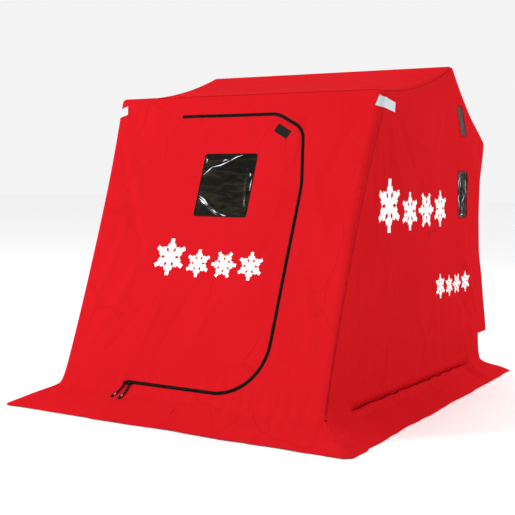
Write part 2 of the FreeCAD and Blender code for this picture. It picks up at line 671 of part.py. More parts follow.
def make_nodes():
    nodes = {
        "sled_hull": sled_hull(),
        "tow_grommets": tow_grommets(),
        "seat_rail_front": seat_rail(RAIL_Y[0]),
        "seat_rail_rear": seat_rail(RAIL_Y[1]),
        "pivot_bracket_right": pivot_bracket(),
        "pivot_bracket_left": mirrored(pivot_bracket()),
        "pivot_bolts": pivot_bolts(),
        "sled_fasteners": sled_fasteners(),
        "rear_batten": rear_batten(),
        "front_wall": front_wall(),
        "door_panel": door_panel(),
        "door_window": door_window(),
        "door_zipper": door_zipper(),
        "door_patch": door_patch(),
        "zip_slider_upper": zip_slider(DOOR_LEFT + 28, 0),
        "zip_slider_lower": zip_slider(DOOR_LEFT - 8, -32),
        "roof_front_panel": roof_panel(FRONT_TOP, RIDGE),
        "roof_rear_panel": roof_panel(RIDGE, REAR_TOP),
        "back_wall": back_wall(),
        "side_wall_right": side_wall(),
        "side_wall_left": mirrored(side_wall()),
        "side_window_right": side_pane(SIDE_WINDOW),
        "side_window_left": mirrored(side_pane(SIDE_WINDOW)),
        "side_vents": both(side_pane(SIDE_VENT)),
        "reflective_tabs": both(reflective_tab()),
        "skirt_front": skirt_front(),
        "skirt_right": skirt_side(),
        "skirt_left": mirrored(skirt_side()),
    }
    for name, (radius, degrees_up, leg_x, reach) in BOWS.items():
        pieces = {
            f"{name}_leg_right": outer_leg(leg_x),
            f"{name}_leg_left": mirrored(outer_leg(leg_x)),
            f"{name}_hoop": hoop(radius, leg_x),
            f"{name}_corner_caps": both(corner_cap(radius, leg_x, reach)),
            f"{name}_knob_right": lock_knob(leg_x),
            f"{name}_knob_left": mirrored(lock_knob(leg_x)),
        }
        for node, shape in pieces.items():
            nodes[node] = placed_on_pivot(shape, degrees_up)
    for side, x in (("left", -SEAT_X), ("right", SEAT_X)):
        nodes[f"seat_{side}_carriage"] = seat_carriage(x)
        nodes[f"seat_{side}_pan"] = seat_pan(x)
        nodes[f"seat_{side}_cushion"] = seat_cushion(x)
        nodes[f"seat_{side}_back"] = seat_back(x)
    return nodes


os.makedirs("parts", exist_ok=True)
for node, shape in make_nodes().items():
    print(f"{node}: {len(shape.Solids)} solids, {shape.Volume / 1000:.1f} cm3, "
          f"valid {shape.isValid()}")
    shape.exportStep(f"parts/{node}.step")
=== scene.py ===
import json
import math

import bpy
import numpy as np
from mathutils import Matrix, Vector, kdtree
from mathutils.geometry import delaunay_2d_cdt


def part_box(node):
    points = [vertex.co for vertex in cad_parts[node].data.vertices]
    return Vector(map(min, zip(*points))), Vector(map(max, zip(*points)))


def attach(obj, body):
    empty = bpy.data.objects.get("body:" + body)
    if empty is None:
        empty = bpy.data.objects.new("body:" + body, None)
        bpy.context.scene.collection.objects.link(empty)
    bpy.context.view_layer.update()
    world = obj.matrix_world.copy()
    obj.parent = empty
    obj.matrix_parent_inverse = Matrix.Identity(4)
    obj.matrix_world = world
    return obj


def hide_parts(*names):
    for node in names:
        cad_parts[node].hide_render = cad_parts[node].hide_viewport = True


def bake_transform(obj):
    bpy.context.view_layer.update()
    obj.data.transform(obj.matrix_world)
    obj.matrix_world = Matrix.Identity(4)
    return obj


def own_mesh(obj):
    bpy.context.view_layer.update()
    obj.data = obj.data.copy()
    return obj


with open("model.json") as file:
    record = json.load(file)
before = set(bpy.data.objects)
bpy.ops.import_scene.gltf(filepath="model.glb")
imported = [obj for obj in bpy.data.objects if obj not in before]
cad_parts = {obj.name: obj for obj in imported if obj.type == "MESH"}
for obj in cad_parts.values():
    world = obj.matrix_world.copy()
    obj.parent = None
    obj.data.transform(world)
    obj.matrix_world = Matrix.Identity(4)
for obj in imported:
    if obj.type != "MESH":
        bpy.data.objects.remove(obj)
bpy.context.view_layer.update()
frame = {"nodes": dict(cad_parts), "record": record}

# Two-person flip-over ice fishing shelter, in metres, in the CAD model's frame: X runs across,
# the door faces -Y, the sled lies at +Y, and the floor is at Z 0.  The fabric shell is made here
# as curved sheets over the CAD model's bows; a sheet on one body follows it, one between two bows
# stays put.

# ---- side profile of the shell, as (y, z) corners ----
FOOT_FRONT = np.array([-0.895, 0.095])
FRONT_TOP = np.array([-0.347, 1.561])
RIDGE = np.array([0.556, 1.739])
REAR_TOP = np.array([1.051, 1.338])
RIM_REAR = np.array([1.034, 0.243])
RIM_NOTCH = np.array([0.905, 0.238])
FOOT_REAR = np.array([0.882, 0.095])
# the back edge as (z, y): drawn in at the waist, and out again over the sled's rim
BACK_EDGE = [(1.338, 1.051), (1.290, 1.051), (1.225, 1.036), (1.13, 1.008), (0.92, 0.994),
             (0.70, 1.002), (0.58, 1.034), (0.48, 1.046), (0.35, 1.042), (0.243, 1.034)]
# half the shell's width at places on its side, as (y, z, x)
SIDE_HALF_WIDTHS = [
    (-0.895, 0.095, 0.747), (-0.737, 0.517, 0.741), (-0.615, 0.845, 0.743), (-0.49, 1.172, 0.753),
    (-0.42, 1.36, 0.765), (-0.347, 1.561, 0.779), (0.10, 1.62, 0.776),
    (0.556, 1.739, 0.779), (0.80, 1.54, 0.782), (1.051, 1.338, 0.790), (0.98, 0.92, 0.787),
    (1.034, 0.45, 0.804), (1.034, 0.243, 0.829), (0.882, 0.095, 0.830), (0.0, 0.095, 0.788),
    (0.18, 0.80, 0.783), (0.20, 1.25, 0.776), (0.60, 1.10, 0.774),
]
# the radius of the shell's corners between front, side and back, and of those over the bows
CORNER_ROUND, BOW_ROUND = 0.016, 0.031
ROOF_SAG, REAR_SAG = 0.040, 0.013
# how deep the drawn folds of each wall are, against the heights in their lists
SIDE_FOLD_DEPTH, FRONT_FOLD_DEPTH = 1.8, 1.7
# where the random slack of each side wall starts: 1 for the right wall, -1 for the left one
SIDE_SEEDS = {1: 11, -1: 43}

# ---- skirt, on the floor round the shell ----
SKIRT_HALF_WIDTH = 0.962
SKIRT_FRONT = -1.085
SKIRT_SPLIT_Y = 0.15
SKIRT_WIDTH, SKIRT_CUT_WIDTH, SKIRT_ROWS = 0.215, 0.21, 24
# the radius of the bend from wall to skirt, and the stretch of the side's foot that is creased
FOOT_SOFTNESS = 0.035
CREASE_START, CREASE_END, CREASE_DROP = -0.71, 0.76, 0.022

# ---- bows: degrees up from +Y about the common pivot ----
PIVOT = np.array([0.25, 0.32])
BOW_DEGREES = {"rear": 51.8, "ridge": 77.8, "front": 115.7, "ground": 193.9}

# ---- door, in the front wall's plane: x across, s up the slope from the foot ----
DOOR_LEFT = -0.345
DOOR_BOTTOM, DOOR_TOP = 0.055, 1.453
DOOR_CORNERS = [(DOOR_LEFT, DOOR_BOTTOM, 0), (0.411, DOOR_BOTTOM, 0.264), (0.427, 1.090, 0.5),
                (0.382, 1.373, 0.104), (0.230, DOOR_TOP, 0.158), (DOOR_LEFT, DOOR_TOP, 0)]
WINDOW_HALF_WIDTH, WINDOW_LOW, WINDOW_HIGH = 0.152, 0.919, 1.244
PATCH_MIDDLE, PATCH_SIZE, PATCH_LEAN = (0.270, 1.362), (0.088, 0.046), -29

# ---- side openings, as (y, z, corner radius) ----
SIDE_WINDOW = [(0.670, 0.912, 0.028), (0.800, 0.912, 0.028), (0.800, 1.172, 0.01),
               (0.670, 1.172, 0.01)]
SIDE_VENT = [(0.700, 1.372, 0.008), (0.785, 1.360, 0.008), (0.690, 1.530, 0.008),
             (0.625, 1.530, 0.008)]
# each reflective tab: its end on the front as (x, s), at the corner as s, and on the side as (y, z)
TABS = {1: ([(0.745, 1.482), (0.757, 1.537)], (1.478, 1.530), [(-0.224, 1.456), (-0.219, 1.502)]),
        -1: ([(0.709, 1.474), (0.720, 1.523)], (1.455, 1.505), [(-0.250, 1.440), (-0.245, 1.488)])}

NET_SPACING = 0.014


# ------------------------------------------------------------------ outlines in a panel's plane

def rounded_loop(corners, spacing=0.01):
    """A closed loop of points through (u, v, radius) corners, with its corners rounded."""
    loop = []
    count = len(corners)
    for i, (u, v, radius) in enumerate(corners):
        here = np.array([u, v])
        if radius == 0:
            loop.append(here)
            continue
        back = np.array(corners[i - 1][:2]) - here
        ahead = np.array(corners[(i + 1) % count][:2]) - here
        back, ahead = back / np.linalg.norm(back), ahead / np.linalg.norm(ahead)
        half = math.acos(np.clip(back @ ahead, -1, 1)) / 2
        middle_way = (back + ahead) / np.linalg.norm(back + ahead)
        centre = here + middle_way * radius / math.sin(half)
        start, end = here + back * radius / math.tan(half), here + ahead * radius / math.tan(half)
        turn = math.pi - 2 * half
        steps = max(3, int(turn * radius / spacing))
        a, b = start - centre, end - centre
        for k in range(steps + 1):
            share = k / steps
            arm = a * math.sin((1 - share) * turn) + b * math.sin(share * turn)
            loop.append(centre + arm / math.sin(turn))
    return np.array(loop)


def divided(path, spacing, closed=False):
    """The same path with extra points, so that none are further apart than the spacing."""
    points = list(path) + ([path[0]] if closed else [])
    out = []
    for a, b in zip(points, points[1:]):
        a, b = np.array(a, float), np.array(b, float)
        steps = max(1, math.ceil(np.linalg.norm(b - a) / spacing))
        out += [a + (b - a) * k / steps for k in range(steps)]
    if not closed:
        out.append(np.array(points[-1], float))
    return np.array(out)


def inside(points, loop):
    """Which points lie inside a closed loop."""
    result = np.zeros(len(points), bool)
    u, v = points[:, 0], points[:, 1]
    for (u0, v0), (u1, v1) in zip(loop, np.roll(loop, -1, axis=0)):
        crosses = (v0 > v) != (v1 > v)
        at = u0 + (v - v0) * (u1 - u0) / (v1 - v0 + 1e-12)
        result ^= crosses & (u < at)
    return result


def distance_to(points, path):
    """How far each point is from the nearest point of a finely divided path."""
    best = np.full(len(points), 1e9)
    for k in range(0, len(path), 64):
        gap = points[:, None, :] - path[None, k:k + 64, :]
        best = np.minimum(best, np.sqrt((gap ** 2).sum(2)).min(1))
    return best


def net(outline, loops=(), lines=(), spacing=NET_SPACING):
    """Fine triangles over an outline, with every given loop and line as edges among them."""
    points, edges = [], []
    closed_paths = [(path, True) for path in [outline, *loops]]
    for path, closed in closed_paths + [(path, False) for path in lines]:
        path = divided(path, spacing, closed)
        first = len(points)
        points += [tuple(p) for p in path]
        edges += [(first + i, first + i + 1) for i in range(len(path) - 1)]
        if closed:
            edges.append((first + len(path) - 1, first))
    tree = kdtree.KDTree(len(points))
    for i, (u, v) in enumerate(points):
        tree.insert((u, v, 0), i)
    tree.balance()
    low, high = outline.min(0), outline.max(0)
    row = 0
    v = low[1]
    while v < high[1]:
        for u in np.arange(low[0] + (row % 2) * spacing / 2, high[0], spacing):
            if tree.find((u, v, 0))[2] > spacing * 0.62:
                points.append((u, v))
        v += spacing * math.sqrt(3) / 2
        row += 1
    result = delaunay_2d_cdt([Vector(p) for p in points], edges, [], 0, 1e-6)
    flat = np.array([tuple(p) for p in result[0]])
    faces = np.array([f for f in result[2] if len(f) == 3])
    middles = flat[faces].mean(1)
    faces = faces[inside(middles, divided(outline, spacing, True))]
    a, b, c = flat[faces[:, 0]], flat[faces[:, 1]], flat[faces[:, 2]]
    area = (b[:, 0] - a[:, 0]) * (c[:, 1] - a[:, 1]) - (b[:, 1] - a[:, 1]) * (c[:, 0] - a[:, 0])
    faces[area < 0] = faces[area < 0][:, ::-1]
    return flat, faces[np.abs(area) > 1e-10]


# ------------------------------------------------------------------ relief of taut fabric

def ripples(p, wavelength, degrees, spread, seed, count=10):
    """Random soft waves about 1 high whose crests run roughly in one direction."""
    rng = np.random.default_rng(seed)
    total = np.zeros(len(p))
    for _ in range(count):
        turn = math.radians(degrees + rng.uniform(-spread, spread))
        wave = 2 * math.pi / (wavelength * rng.uniform(0.65, 1.6))
        across = -p[:, 0] * math.sin(turn) + p[:, 1] * math.cos(turn)
        total += np.sin(wave * across + rng.uniform(0, 2 * math.pi))
    return total / math.sqrt(count)


def patches(p, size, seed):
    """Where the fabric is loose (1) and where it is taut (0), in random soft patches."""
    return 0.5 + 0.5 * np.tanh(1.6 * ripples(p, size, 0, 180, seed))


def fold(p, start, end, width, height):
    """A soft ridge along a line, or a valley if its height is negative, fading at its ends."""
    start, end = np.array(start), np.array(end)
    length = np.linalg.norm(end - start)
    along = (end - start) / length
    run = (p - start) @ along / length
    off = (p - start) @ np.array([-along[1], along[0]])
    off = off + 0.10 * length * run * (1 - run)
    fade = np.clip(np.minimum(run, 1 - run) / 0.35, 0, 1)
    return height * fade ** 2 * (3 - 2 * fade) * np.exp(-(off / width) ** 2)


def near(distance, reach):
    """1 on a line and 0 beyond its reach, smoothly."""
    share = np.clip(1 - distance / reach, 0, 1)
    return share * share * (3 - 2 * share)


def rolled(distance, degrees, radius):
    """How far a panel drops near an edge where the shell turns by an angle over a round corner."""
    half = math.radians(degrees) / 2
    reach = radius * math.tan(half)
    inwards = np.clip(reach - distance, 0, radius * math.sin(half) + 1e-4)
    return radius - np.sqrt(radius ** 2 - inwards ** 2)


def corner_inset(degrees, radius):
    """How far short of the sharp corner a panel ends, at the middle of the round."""
    half = math.radians(degrees) / 2
    return radius * (1 / math.cos(half) - 1) * math.sin(half)


def turn_between(a, b):
    """The angle between two (y, z) directions, in degrees."""
    cross = a[0] * b[1] - a[1] * b[0]
    return abs(math.degrees(math.atan2(cross, a @ b)))


def unit(vector):
    """The vector at length 1."""
    return vector / np.linalg.norm(vector)


# ------------------------------------------------------------------ the shell's side

def thin_plate(places, values):
    """A smooth function through values at places (y, z)."""
    places = np.array(places)

    def kernel(a, b):
        gap = np.linalg.norm(a[:, None, :] - b[None, :, :], axis=2)
        return gap ** 2 * np.log(gap + 1e-9)

    count = len(places)
    flat = np.hstack([np.ones((count, 1)), places])
    system = np.block([[kernel(places, places), flat], [flat.T, np.zeros((3, 3))]])
    weights = np.linalg.solve(system, np.concatenate([values, np.zeros(3)]))

    def value(p):
        out = np.empty(len(p))
        for k in range(0, len(p), 4096):
            part = p[k:k + 4096]
            out[k:k + 4096] = (kernel(part, places) @ weights[:count] + weights[count]
                               + part @ weights[count + 1:])
        return out

    return value


half_width = thin_plate([p[:2] for p in SIDE_HALF_WIDTHS], [p[2] for p in SIDE_HALF_WIDTHS])

SLOPE = unit(FRONT_TOP - FOOT_FRONT)
FRONT_OUT = np.array([0, -SLOPE[1], SLOPE[0]])
FRONT_LENGTH = np.linalg.norm(FRONT_TOP - FOOT_FRONT)
SKIRT_SLOPE = unit(np.array([-0.2, -0.078]))
ROOF_FRONT_ALONG = unit(RIDGE - FRONT_TOP)
ROOF_REAR_ALONG = unit(REAR_TOP - RIDGE)
# how far the shell turns over each bow, in degrees, and the radius of that turn
FRONT_FOLD = (turn_between(SLOPE, ROOF_FRONT_ALONG), 0.026)
RIDGE_FOLD = (turn_between(ROOF_FRONT_ALONG, ROOF_REAR_ALONG), 0.026)
REAR_FOLD = (turn_between(ROOF_REAR_ALONG, np.array([-0.3, -0.954])), 0.013)
NO_FOLD = (0, 0.001)
# each roof panel as its first and last bow, its sag, and its folds over them
ROOF_PANELS = {"front": (FRONT_TOP, RIDGE, ROOF_SAG, (FRONT_FOLD, RIDGE_FOLD)),
               "rear": (RIDGE, REAR_TOP, REAR_SAG, (RIDGE_FOLD, REAR_FOLD))}


def outwards(along):
    """The outward normal of a wall whose profile runs along a (y, z) direction."""
    return np.array([-along[1], along[0]])


def smooth_step(value, low, high):
    """0 up to the low value and 1 from the high one, smoothly."""
    share = np.clip((np.asarray(value, float) - low) / (high - low), 0, 1)
    return share * share * (3 - 2 * share)


def corner_round(p):
    """The radius of the side's corners: tight at the foot and the back, wide over the bows."""
    high = smooth_step(p[:, 1], 0.2, 1.45) * (1 - smooth_step(p[:, 0], 0.82, 1.0))
    return CORNER_ROUND + (BOW_ROUND - CORNER_ROUND) * high


def crease_middle(y):
    """The stretch of the side's foot that is creased: 1 along it, and falling to 0 at its ends."""
    begun = smooth_step(y, CREASE_START, CREASE_START + 0.18)
    return begun * (1 - smooth_step(y, CREASE_END - 0.10, CREASE_END))


def crease(y):
    """Where the side's foot is tucked in behind the skirt (1), and where it flows into it (0)."""
    places = np.column_stack([np.ravel(y), np.zeros(np.size(y))])
    uneven = 0.5 + 0.5 * np.tanh(ripples(places, 0.12, 90, 3, 7))
    return crease_middle(y) * (0.72 + 0.28 * uneven.reshape(np.shape(y)))


def foot_height(y):
    """The height of the side wall's foot, which hangs a little lower where it is creased."""
    return FOOT_FRONT[1] - CREASE_DROP * crease_middle(y)


def shell_half(p):
    """Half the shell's width with its flare, or its tuck, at the foot."""
    up = p[:, 1] - foot_height(p[:, 0])
    tucked = crease(p[:, 0])
    flare = (np.sqrt(up ** 2 + FOOT_SOFTNESS ** 2) - up) / 2
    tuck = 0.007 * np.exp(-((up - 0.046) / 0.026) ** 2) - 0.028 * np.exp(-(up / 0.019) ** 2)
    return half_width(p) + flare * (1 - tucked) + tuck * tucked


def back_y(z):
    """The back edge's y at a height, as a soft curve through its points."""
    heights = np.array([p[0] for p in BACK_EDGE])[::-1]
    depths = np.array([p[1] for p in BACK_EDGE])[::-1]
    total = 0
    for k in range(-6, 7):
        total = total + np.interp(np.asarray(z) + k * 0.007, heights, depths)
    middle = total / 13
    ends = near(np.minimum(np.abs(z - heights[0]), np.abs(z - heights[-1])), 0.05)
    return middle * (1 - ends) + np.interp(z, heights, depths) * ends


def rounded_over(base, along, from_start, to_end, folds):
    """A leg of the profile, rounded over the bows at its ends: its points and their normals."""
    def lean(distance, degrees, radius):
        half = math.radians(degrees) / 2
        reach = radius * math.tan(half)
        return np.clip(reach - distance, 0, radius * math.sin(half)) / radius

    square = np.column_stack([-along[:, 1], along[:, 0]])
    drop = rolled(from_start, *folds[0]) + rolled(to_end, *folds[1])
    turned = (lean(to_end, *folds[1]) - lean(from_start, *folds[0]))[:, None]
    normal = square * np.sqrt(1 - turned ** 2) + along * turned
    return base - square * drop[:, None], normal


def front_leg(s):
    """The front wall's profile at distances up its slope, soft at the foot."""
    up = (s + np.sqrt(s ** 2 + FOOT_SOFTNESS ** 2)) / 2
    base = FOOT_FRONT + SLOPE * up[:, None] + SKIRT_SLOPE * (up - s)[:, None]
    along = np.tile(SLOPE, (len(s), 1))
    return rounded_over(base, along, np.full(len(s), 9.0), FRONT_LENGTH - s, (NO_FOLD, FRONT_FOLD))


def roof_leg(s, panel):
    """A roof panel's profile at distances from its first bow, with its sag at the sides."""
    start, end, sag, folds = ROOF_PANELS[panel]
    length = np.linalg.norm(end - start)
    along = unit(end - start)
    share = np.clip(s / length, 0, 1)
    base = start + along * s[:, None] - outwards(along) * (sag * 4 * share * (1 - share))[:, None]
    return rounded_over(base, np.tile(along, (len(s), 1)), s, length - s, folds)


def back_leg(z):
    """The back wall's profile at heights, from the rear bow down to the sled's rim."""
    step = 0.004
    along = np.column_stack([(back_y(z - step) - back_y(z + step)) / (2 * step), -np.ones(len(z))])
    along /= np.linalg.norm(along, axis=1)[:, None]
    base = np.column_stack([back_y(z), z])
    return rounded_over(base, along, REAR_TOP[1] - z, np.full(len(z), 9.0), (REAR_FOLD, NO_FOLD))


def leg_rows(name, count):
    """Distances along a leg of the profile, from the middle of one bow's round to the next."""
    if name == "front":
        return np.linspace(0, FRONT_LENGTH - corner_inset(*FRONT_FOLD), count)
    if name == "back":
        return np.linspace(REAR_TOP[1] - corner_inset(*REAR_FOLD), RIM_REAR[1], count)
    start, end, _, folds = ROOF_PANELS[name.removeprefix("roof_")]
    length = np.linalg.norm(end - start)
    return np.linspace(corner_inset(*folds[0]), length - corner_inset(*folds[1]), count)


def leg(name, rows):
    """A leg of the profile at given rows: its points and their normals."""
    if name == "front":
        return front_leg(rows)
    if name == "back":
        return back_leg(rows)
    return roof_leg(rows, name.removeprefix("roof_"))


LEGS = {name: leg(name, leg_rows(name, count)) for name, count in
        (("front", 170), ("roof_front", 110), ("roof_rear", 80), ("back", 130))}


def side_edge(name):
    """The side wall's edge along a leg, at the middle of the round corner."""
    base, normal = LEGS[name]
    return base - normal * corner_inset(90, corner_round(base))[:, None]


def foot_line(count):
    """The side wall's low edge, from its rear end to its front end."""
    y = np.linspace(FOOT_REAR[0], side_edge("front")[0, 0], count)
    return np.column_stack([y, foot_height(y)])


SIDE_OUTLINE = np.vstack([side_edge(name) for name in LEGS] + [[RIM_NOTCH], foot_line(120)[:-1]])
SIDE_PROFILE = divided(np.vstack([base for base, _ in LEGS.values()]), 0.004)


def from_pivot(degrees, length):
    """The place at a distance from the pivot, at an angle up from +Y."""
    turn = math.radians(degrees)
    return PIVOT + length * np.array([math.cos(turn), math.sin(turn)])


def degrees_about_pivot(p):
    """The angle of each place about the pivot, up from +Y."""
    turn = np.degrees(np.arctan2(p[:, 1] - PIVOT[1], p[:, 0] - PIVOT[0]))
    return np.where(turn < -90, turn + 360, turn)


RIM_DEGREES = math.degrees(math.atan2(RIM_REAR[1] - PIVOT[1], RIM_REAR[0] - PIVOT[0]))
SPLIT_FOOT = np.array([SKIRT_SPLIT_Y, foot_height(SKIRT_SPLIT_Y)])


def side_relief(p, seed):
    """The side wall's folds: puckers off its seams, soft slack, and tension lines from corners."""
    edge = distance_to(p, SIDE_PROFILE)
    settled = 1 - near(edge, 0.06)
    top = distance_to(p, divided(np.vstack([LEGS["roof_front"][0], LEGS["roof_rear"][0]]), 0.012))
    front = distance_to(p, divided(LEGS["front"][0], 0.012))
    foot = np.clip(p[:, 1] - FOOT_FRONT[1], 0, 9)
    relief = -0.006 * np.clip(edge / 0.4, 0, 1) ** 1.5
    relief += 0.0018 * ripples(p, 0.34, 70, 60, seed) * patches(p, 0.9, seed + 1)
    relief += 0.0009 * ripples(p, 0.11, 84, 26, seed + 2) * patches(p, 0.5, seed + 3)
    relief += 0.0010 * ripples(p, 0.050, 90, 9, seed + 4) * near(top, 0.22) * patches(p, 0.3, seed)
    relief += 0.0008 * ripples(p, 0.060, 18, 14, seed + 5) * near(front, 0.16)
    relief += 0.0012 * ripples(p, 0.085, 92, 12, seed + 6) * near(foot, 0.22)
    for start, end, width, height in (
            ((-0.30, 1.50), (0.02, 0.95), 0.026, 0.0026),
            ((-0.24, 1.52), (0.22, 1.02), 0.022, -0.0020),
            ((-0.36, 1.40), (-0.33, 0.72), 0.020, 0.0024),
            ((-0.33, 1.44), (-0.16, 0.62), 0.018, 0.0022),
            ((-0.28, 1.48), (0.34, 1.24), 0.018, 0.0016),
            ((0.50, 1.68), (0.30, 1.12), 0.030, 0.0026),
            ((0.58, 1.66), (0.72, 1.24), 0.022, -0.0022),
            ((0.98, 1.30), (0.62, 0.86), 0.030, 0.0032),
            ((1.00, 1.22), (0.80, 0.66), 0.024, -0.0028),
            ((0.95, 0.30), (0.70, 0.78), 0.030, 0.0034),
            ((0.88, 0.26), (0.52, 0.62), 0.026, -0.0028),
            ((-0.84, 0.16), (-0.40, 0.62), 0.030, 0.0028),
            ((-0.78, 0.14), (-0.22, 0.44), 0.026, -0.0022),
            ((0.06, 0.12), (0.30, 0.46), 0.020, -0.0036),
            ((0.40, 0.12), (0.36, 0.56), 0.030, -0.0022)):
        relief += fold(p, start, end, width, SIDE_FOLD_DEPTH * height)
    return relief * settled


def side_point(p, lift=0.0, seed=SIDE_SEEDS[1]):
    """Points of a side wall from (y, z), lifted outwards, as if it were the right one."""
    out = shell_half(p) - rolled(distance_to(p, SIDE_PROFILE), 90, corner_round(p))
    return np.column_stack([out + (side_relief(p, seed) + lift), p])


# ------------------------------------------------------------------ the panels across the shell

def across_point(p, base, normal, out):
    """Points of a panel across the shell: off its profile, and down over the side's corner."""
    half = shell_half(base)
    out = out - rolled(half - np.abs(p[:, 0]), 90, corner_round(base))
    return np.column_stack([p[:, 0], base + normal * out[:, None]])


def front_relief(p):
    """The front wall's and door's folds, in (x, s)."""
    x, s = p[:, 0], p[:, 1]
    half = np.interp(s, [0, FRONT_LENGTH], [0.745, 0.779])
    edge = np.minimum(half - np.abs(x), FRONT_LENGTH - s)
    settled = 1 - near(edge, 0.08)
    door = distance_to(p, DOOR_PATH)
    relief = -0.004 * np.clip(edge / 0.4, 0, 1)
    relief += 0.0019 * ripples(p, 0.42, 60, 50, 21) * patches(p, 0.8, 22)
    relief += 0.0008 * ripples(p, 0.12, 96, 24, 23) * patches(p, 0.5, 24)
    relief += 0.0010 * ripples(p, 0.055, 90, 8, 25) * near(FRONT_LENGTH - s, 0.20)
    relief += 0.0010 * ripples(p, 0.060, 90, 10, 26) * near(np.abs(s - 0.02), 0.18)
    relief += 0.0006 * ripples(p, 0.045, 100, 60, 27) * near(door, 0.07)
    relief -= 0.0008 * near(door, 0.035)
    for start, end, width, height in (
            ((-0.72, 1.42), (-0.42, 0.90), 0.030, 0.0026),
            ((-0.70, 1.10), (-0.44, 1.24), 0.012, 0.0022),
            ((-0.71, 0.98), (-0.46, 1.16), 0.012, 0.0022),
            ((-0.70, 1.30), (-0.36, 0.62), 0.026, -0.0022),
            ((-0.66, 0.16), (-0.36, 0.84), 0.030, 0.0026),
            ((-0.58, 0.12), (-0.30, 0.52), 0.016, -0.0022),
            ((-0.70, 0.30), (-0.54, 1.02), 0.024, 0.0020),
            ((-0.42, 1.40), (-0.40, 1.16), 0.012, 0.0018),
            ((-0.36, 1.44), (-0.30, 1.20), 0.012, -0.0016),
            ((-0.20, 0.60), (-0.32, 0.16), 0.014, 0.0020),
            ((-0.06, 0.56), (-0.22, 0.14), 0.014, -0.0020),
            ((0.16, 0.62), (-0.02, 0.26), 0.014, 0.0018),
            ((0.34, 0.90), (0.24, 0.50), 0.020, -0.0016),
            ((0.44, 1.30), (0.66, 0.66), 0.028, 0.0022),
            ((0.70, 1.48), (0.50, 0.96), 0.026, -0.0020),
            ((0.66, 0.20), (0.48, 0.76), 0.026, 0.0022),
            ((-0.16, 1.42), (-0.20, 1.26), 0.016, 0.0016),
            ((0.10, 1.44), (0.18, 1.24), 0.016, -0.0014)):
        relief += fold(p, start, end, width, FRONT_FOLD_DEPTH * height)
    return relief * settled


def front_point(p, lift=0.0):
    """Points of the front wall from (x, s): straight up to the front bow, soft at the foot."""
    base, normal = front_leg(p[:, 1])
    return across_point(p, base, normal, front_relief(p) + lift)


DOOR_PATH = divided(rounded_loop(DOOR_CORNERS, 0.006), 0.008)


def roof_point(p, panel, seed):
    """Points of a roof panel from (x, s) between two bows, sagging most along its sides."""
    x, s = p[:, 0], p[:, 1]
    start, end, sag, _ = ROOF_PANELS[panel]
    length = np.linalg.norm(end - start)
    share = np.clip(s / length, 0, 1)
    base, normal = roof_leg(s, panel)
    half = shell_half(base)
    side = np.clip(np.abs(x) / half, 0, 1)
    taut = sag * 4 * share * (1 - share) * 0.45 * (1 - side ** 4)
    edge = np.minimum(half - np.abs(x), np.minimum(s, length - s))
    settled = 1 - near(edge, 0.06)
    ends = near(np.minimum(s, length - s), 0.2)
    corner = near(half - x, 0.6) * patches(p, 0.5, seed)
    relief = 0.0013 * ripples(p, 0.36, 90, 40, seed) * patches(p, 0.8, seed + 1)
    relief += 0.0007 * ripples(p, 0.07, 90, 10, seed + 2) * ends
    relief += 0.0012 * ripples(p, 0.080, 48, 8, seed + 3) * corner
    return across_point(p, base, normal, taut + relief * settled)


def back_point(p):
    """Points of the back wall from (x, z)."""
    x, z = p[:, 0], p[:, 1]
    base, normal = back_leg(z)
    edge = np.minimum(shell_half(base) - np.abs(x), np.minimum(REAR_TOP[1] - z, z - RIM_REAR[1]))
    settled = 1 - near(edge, 0.06)
    relief = 0.0024 * ripples(p, 0.40, 75, 50, 61) * patches(p, 0.8, 62)
    relief += 0.0010 * ripples(p, 0.10, 92, 20, 63)
    for side in (-1, 1):
        relief += fold(p, (side * 0.74, 1.28), (side * 0.30, 0.80), 0.040, 0.006)
        relief += fold(p, (side * 0.70, 0.32), (side * 0.34, 0.70), 0.040, -0.006)
    return across_point(p, base, normal, relief * settled)


# ------------------------------------------------------------------ making pieces

def in_scene(name, data):
    """A new object of a mesh, light or camera."""
    made = bpy.data.objects.new(name, data)
    bpy.context.scene.collection.objects.link(made)
    return made


def strip_faces(rows, count):
    """The quads between rows of points, each row of the same count."""
    starts = (row * count + i for row in range(rows - 1) for i in range(count - 1))
    return [(a, a + 1, a + count + 1, a + count) for a in starts]


def vertex_normals(points, faces):
    """Smooth outward normals at the points of a triangle net."""
    a, b, c = points[faces[:, 0]], points[faces[:, 1]], points[faces[:, 2]]
    face_normals = np.cross(b - a, c - a)
    normals = np.zeros_like(points)
    for k in range(3):
        np.add.at(normals, faces[:, k], face_normals)
    return normals / (np.linalg.norm(normals, axis=1)[:, None] + 1e-12)


def make_piece(name, points, faces, materials, which=None, normals=None, uv=None):
    """An object from the points that its faces use, smooth, with one or more materials."""
    faces = [list(f) for f in faces]
    used = sorted({i for f in faces for i in f})
    new_index = {old: i for i, old in enumerate(used)}
    mesh = bpy.data.meshes.new(name)
    mesh.from_pydata([tuple(points[i]) for i in used], [],
                     [[new_index[i] for i in f] for f in faces])
    for each in materials:
        mesh.materials.append(each)
    if which is not None:
        mesh.polygons.foreach_set("material_index", np.asarray(which, np.int32))
    mesh.polygons.foreach_set("use_smooth", np.ones(len(faces), bool))
    if uv is not None:
        layer = mesh.uv_layers.new(name="UVMap")
        corners = np.array([uv[i] for f in faces for i in f], np.float32)
        layer.data.foreach_set("uv", corners.ravel())
    mesh.update()
    if normals is not None:
        mesh.normals_split_custom_set_from_vertices([tuple(normals[i]) for i in used])
    return in_scene(name, mesh)


def flat_area(flat, faces):
    """The area of flat triangles."""
    a, b, c = flat[faces[:, 0]], flat[faces[:, 1]], flat[faces[:, 2]]
    cross = (b[:, 0] - a[:, 0]) * (c[:, 1] - a[:, 1]) - (b[:, 1] - a[:, 1]) * (c[:, 0] - a[:, 0])
    return float(np.abs(cross).sum() / 2)


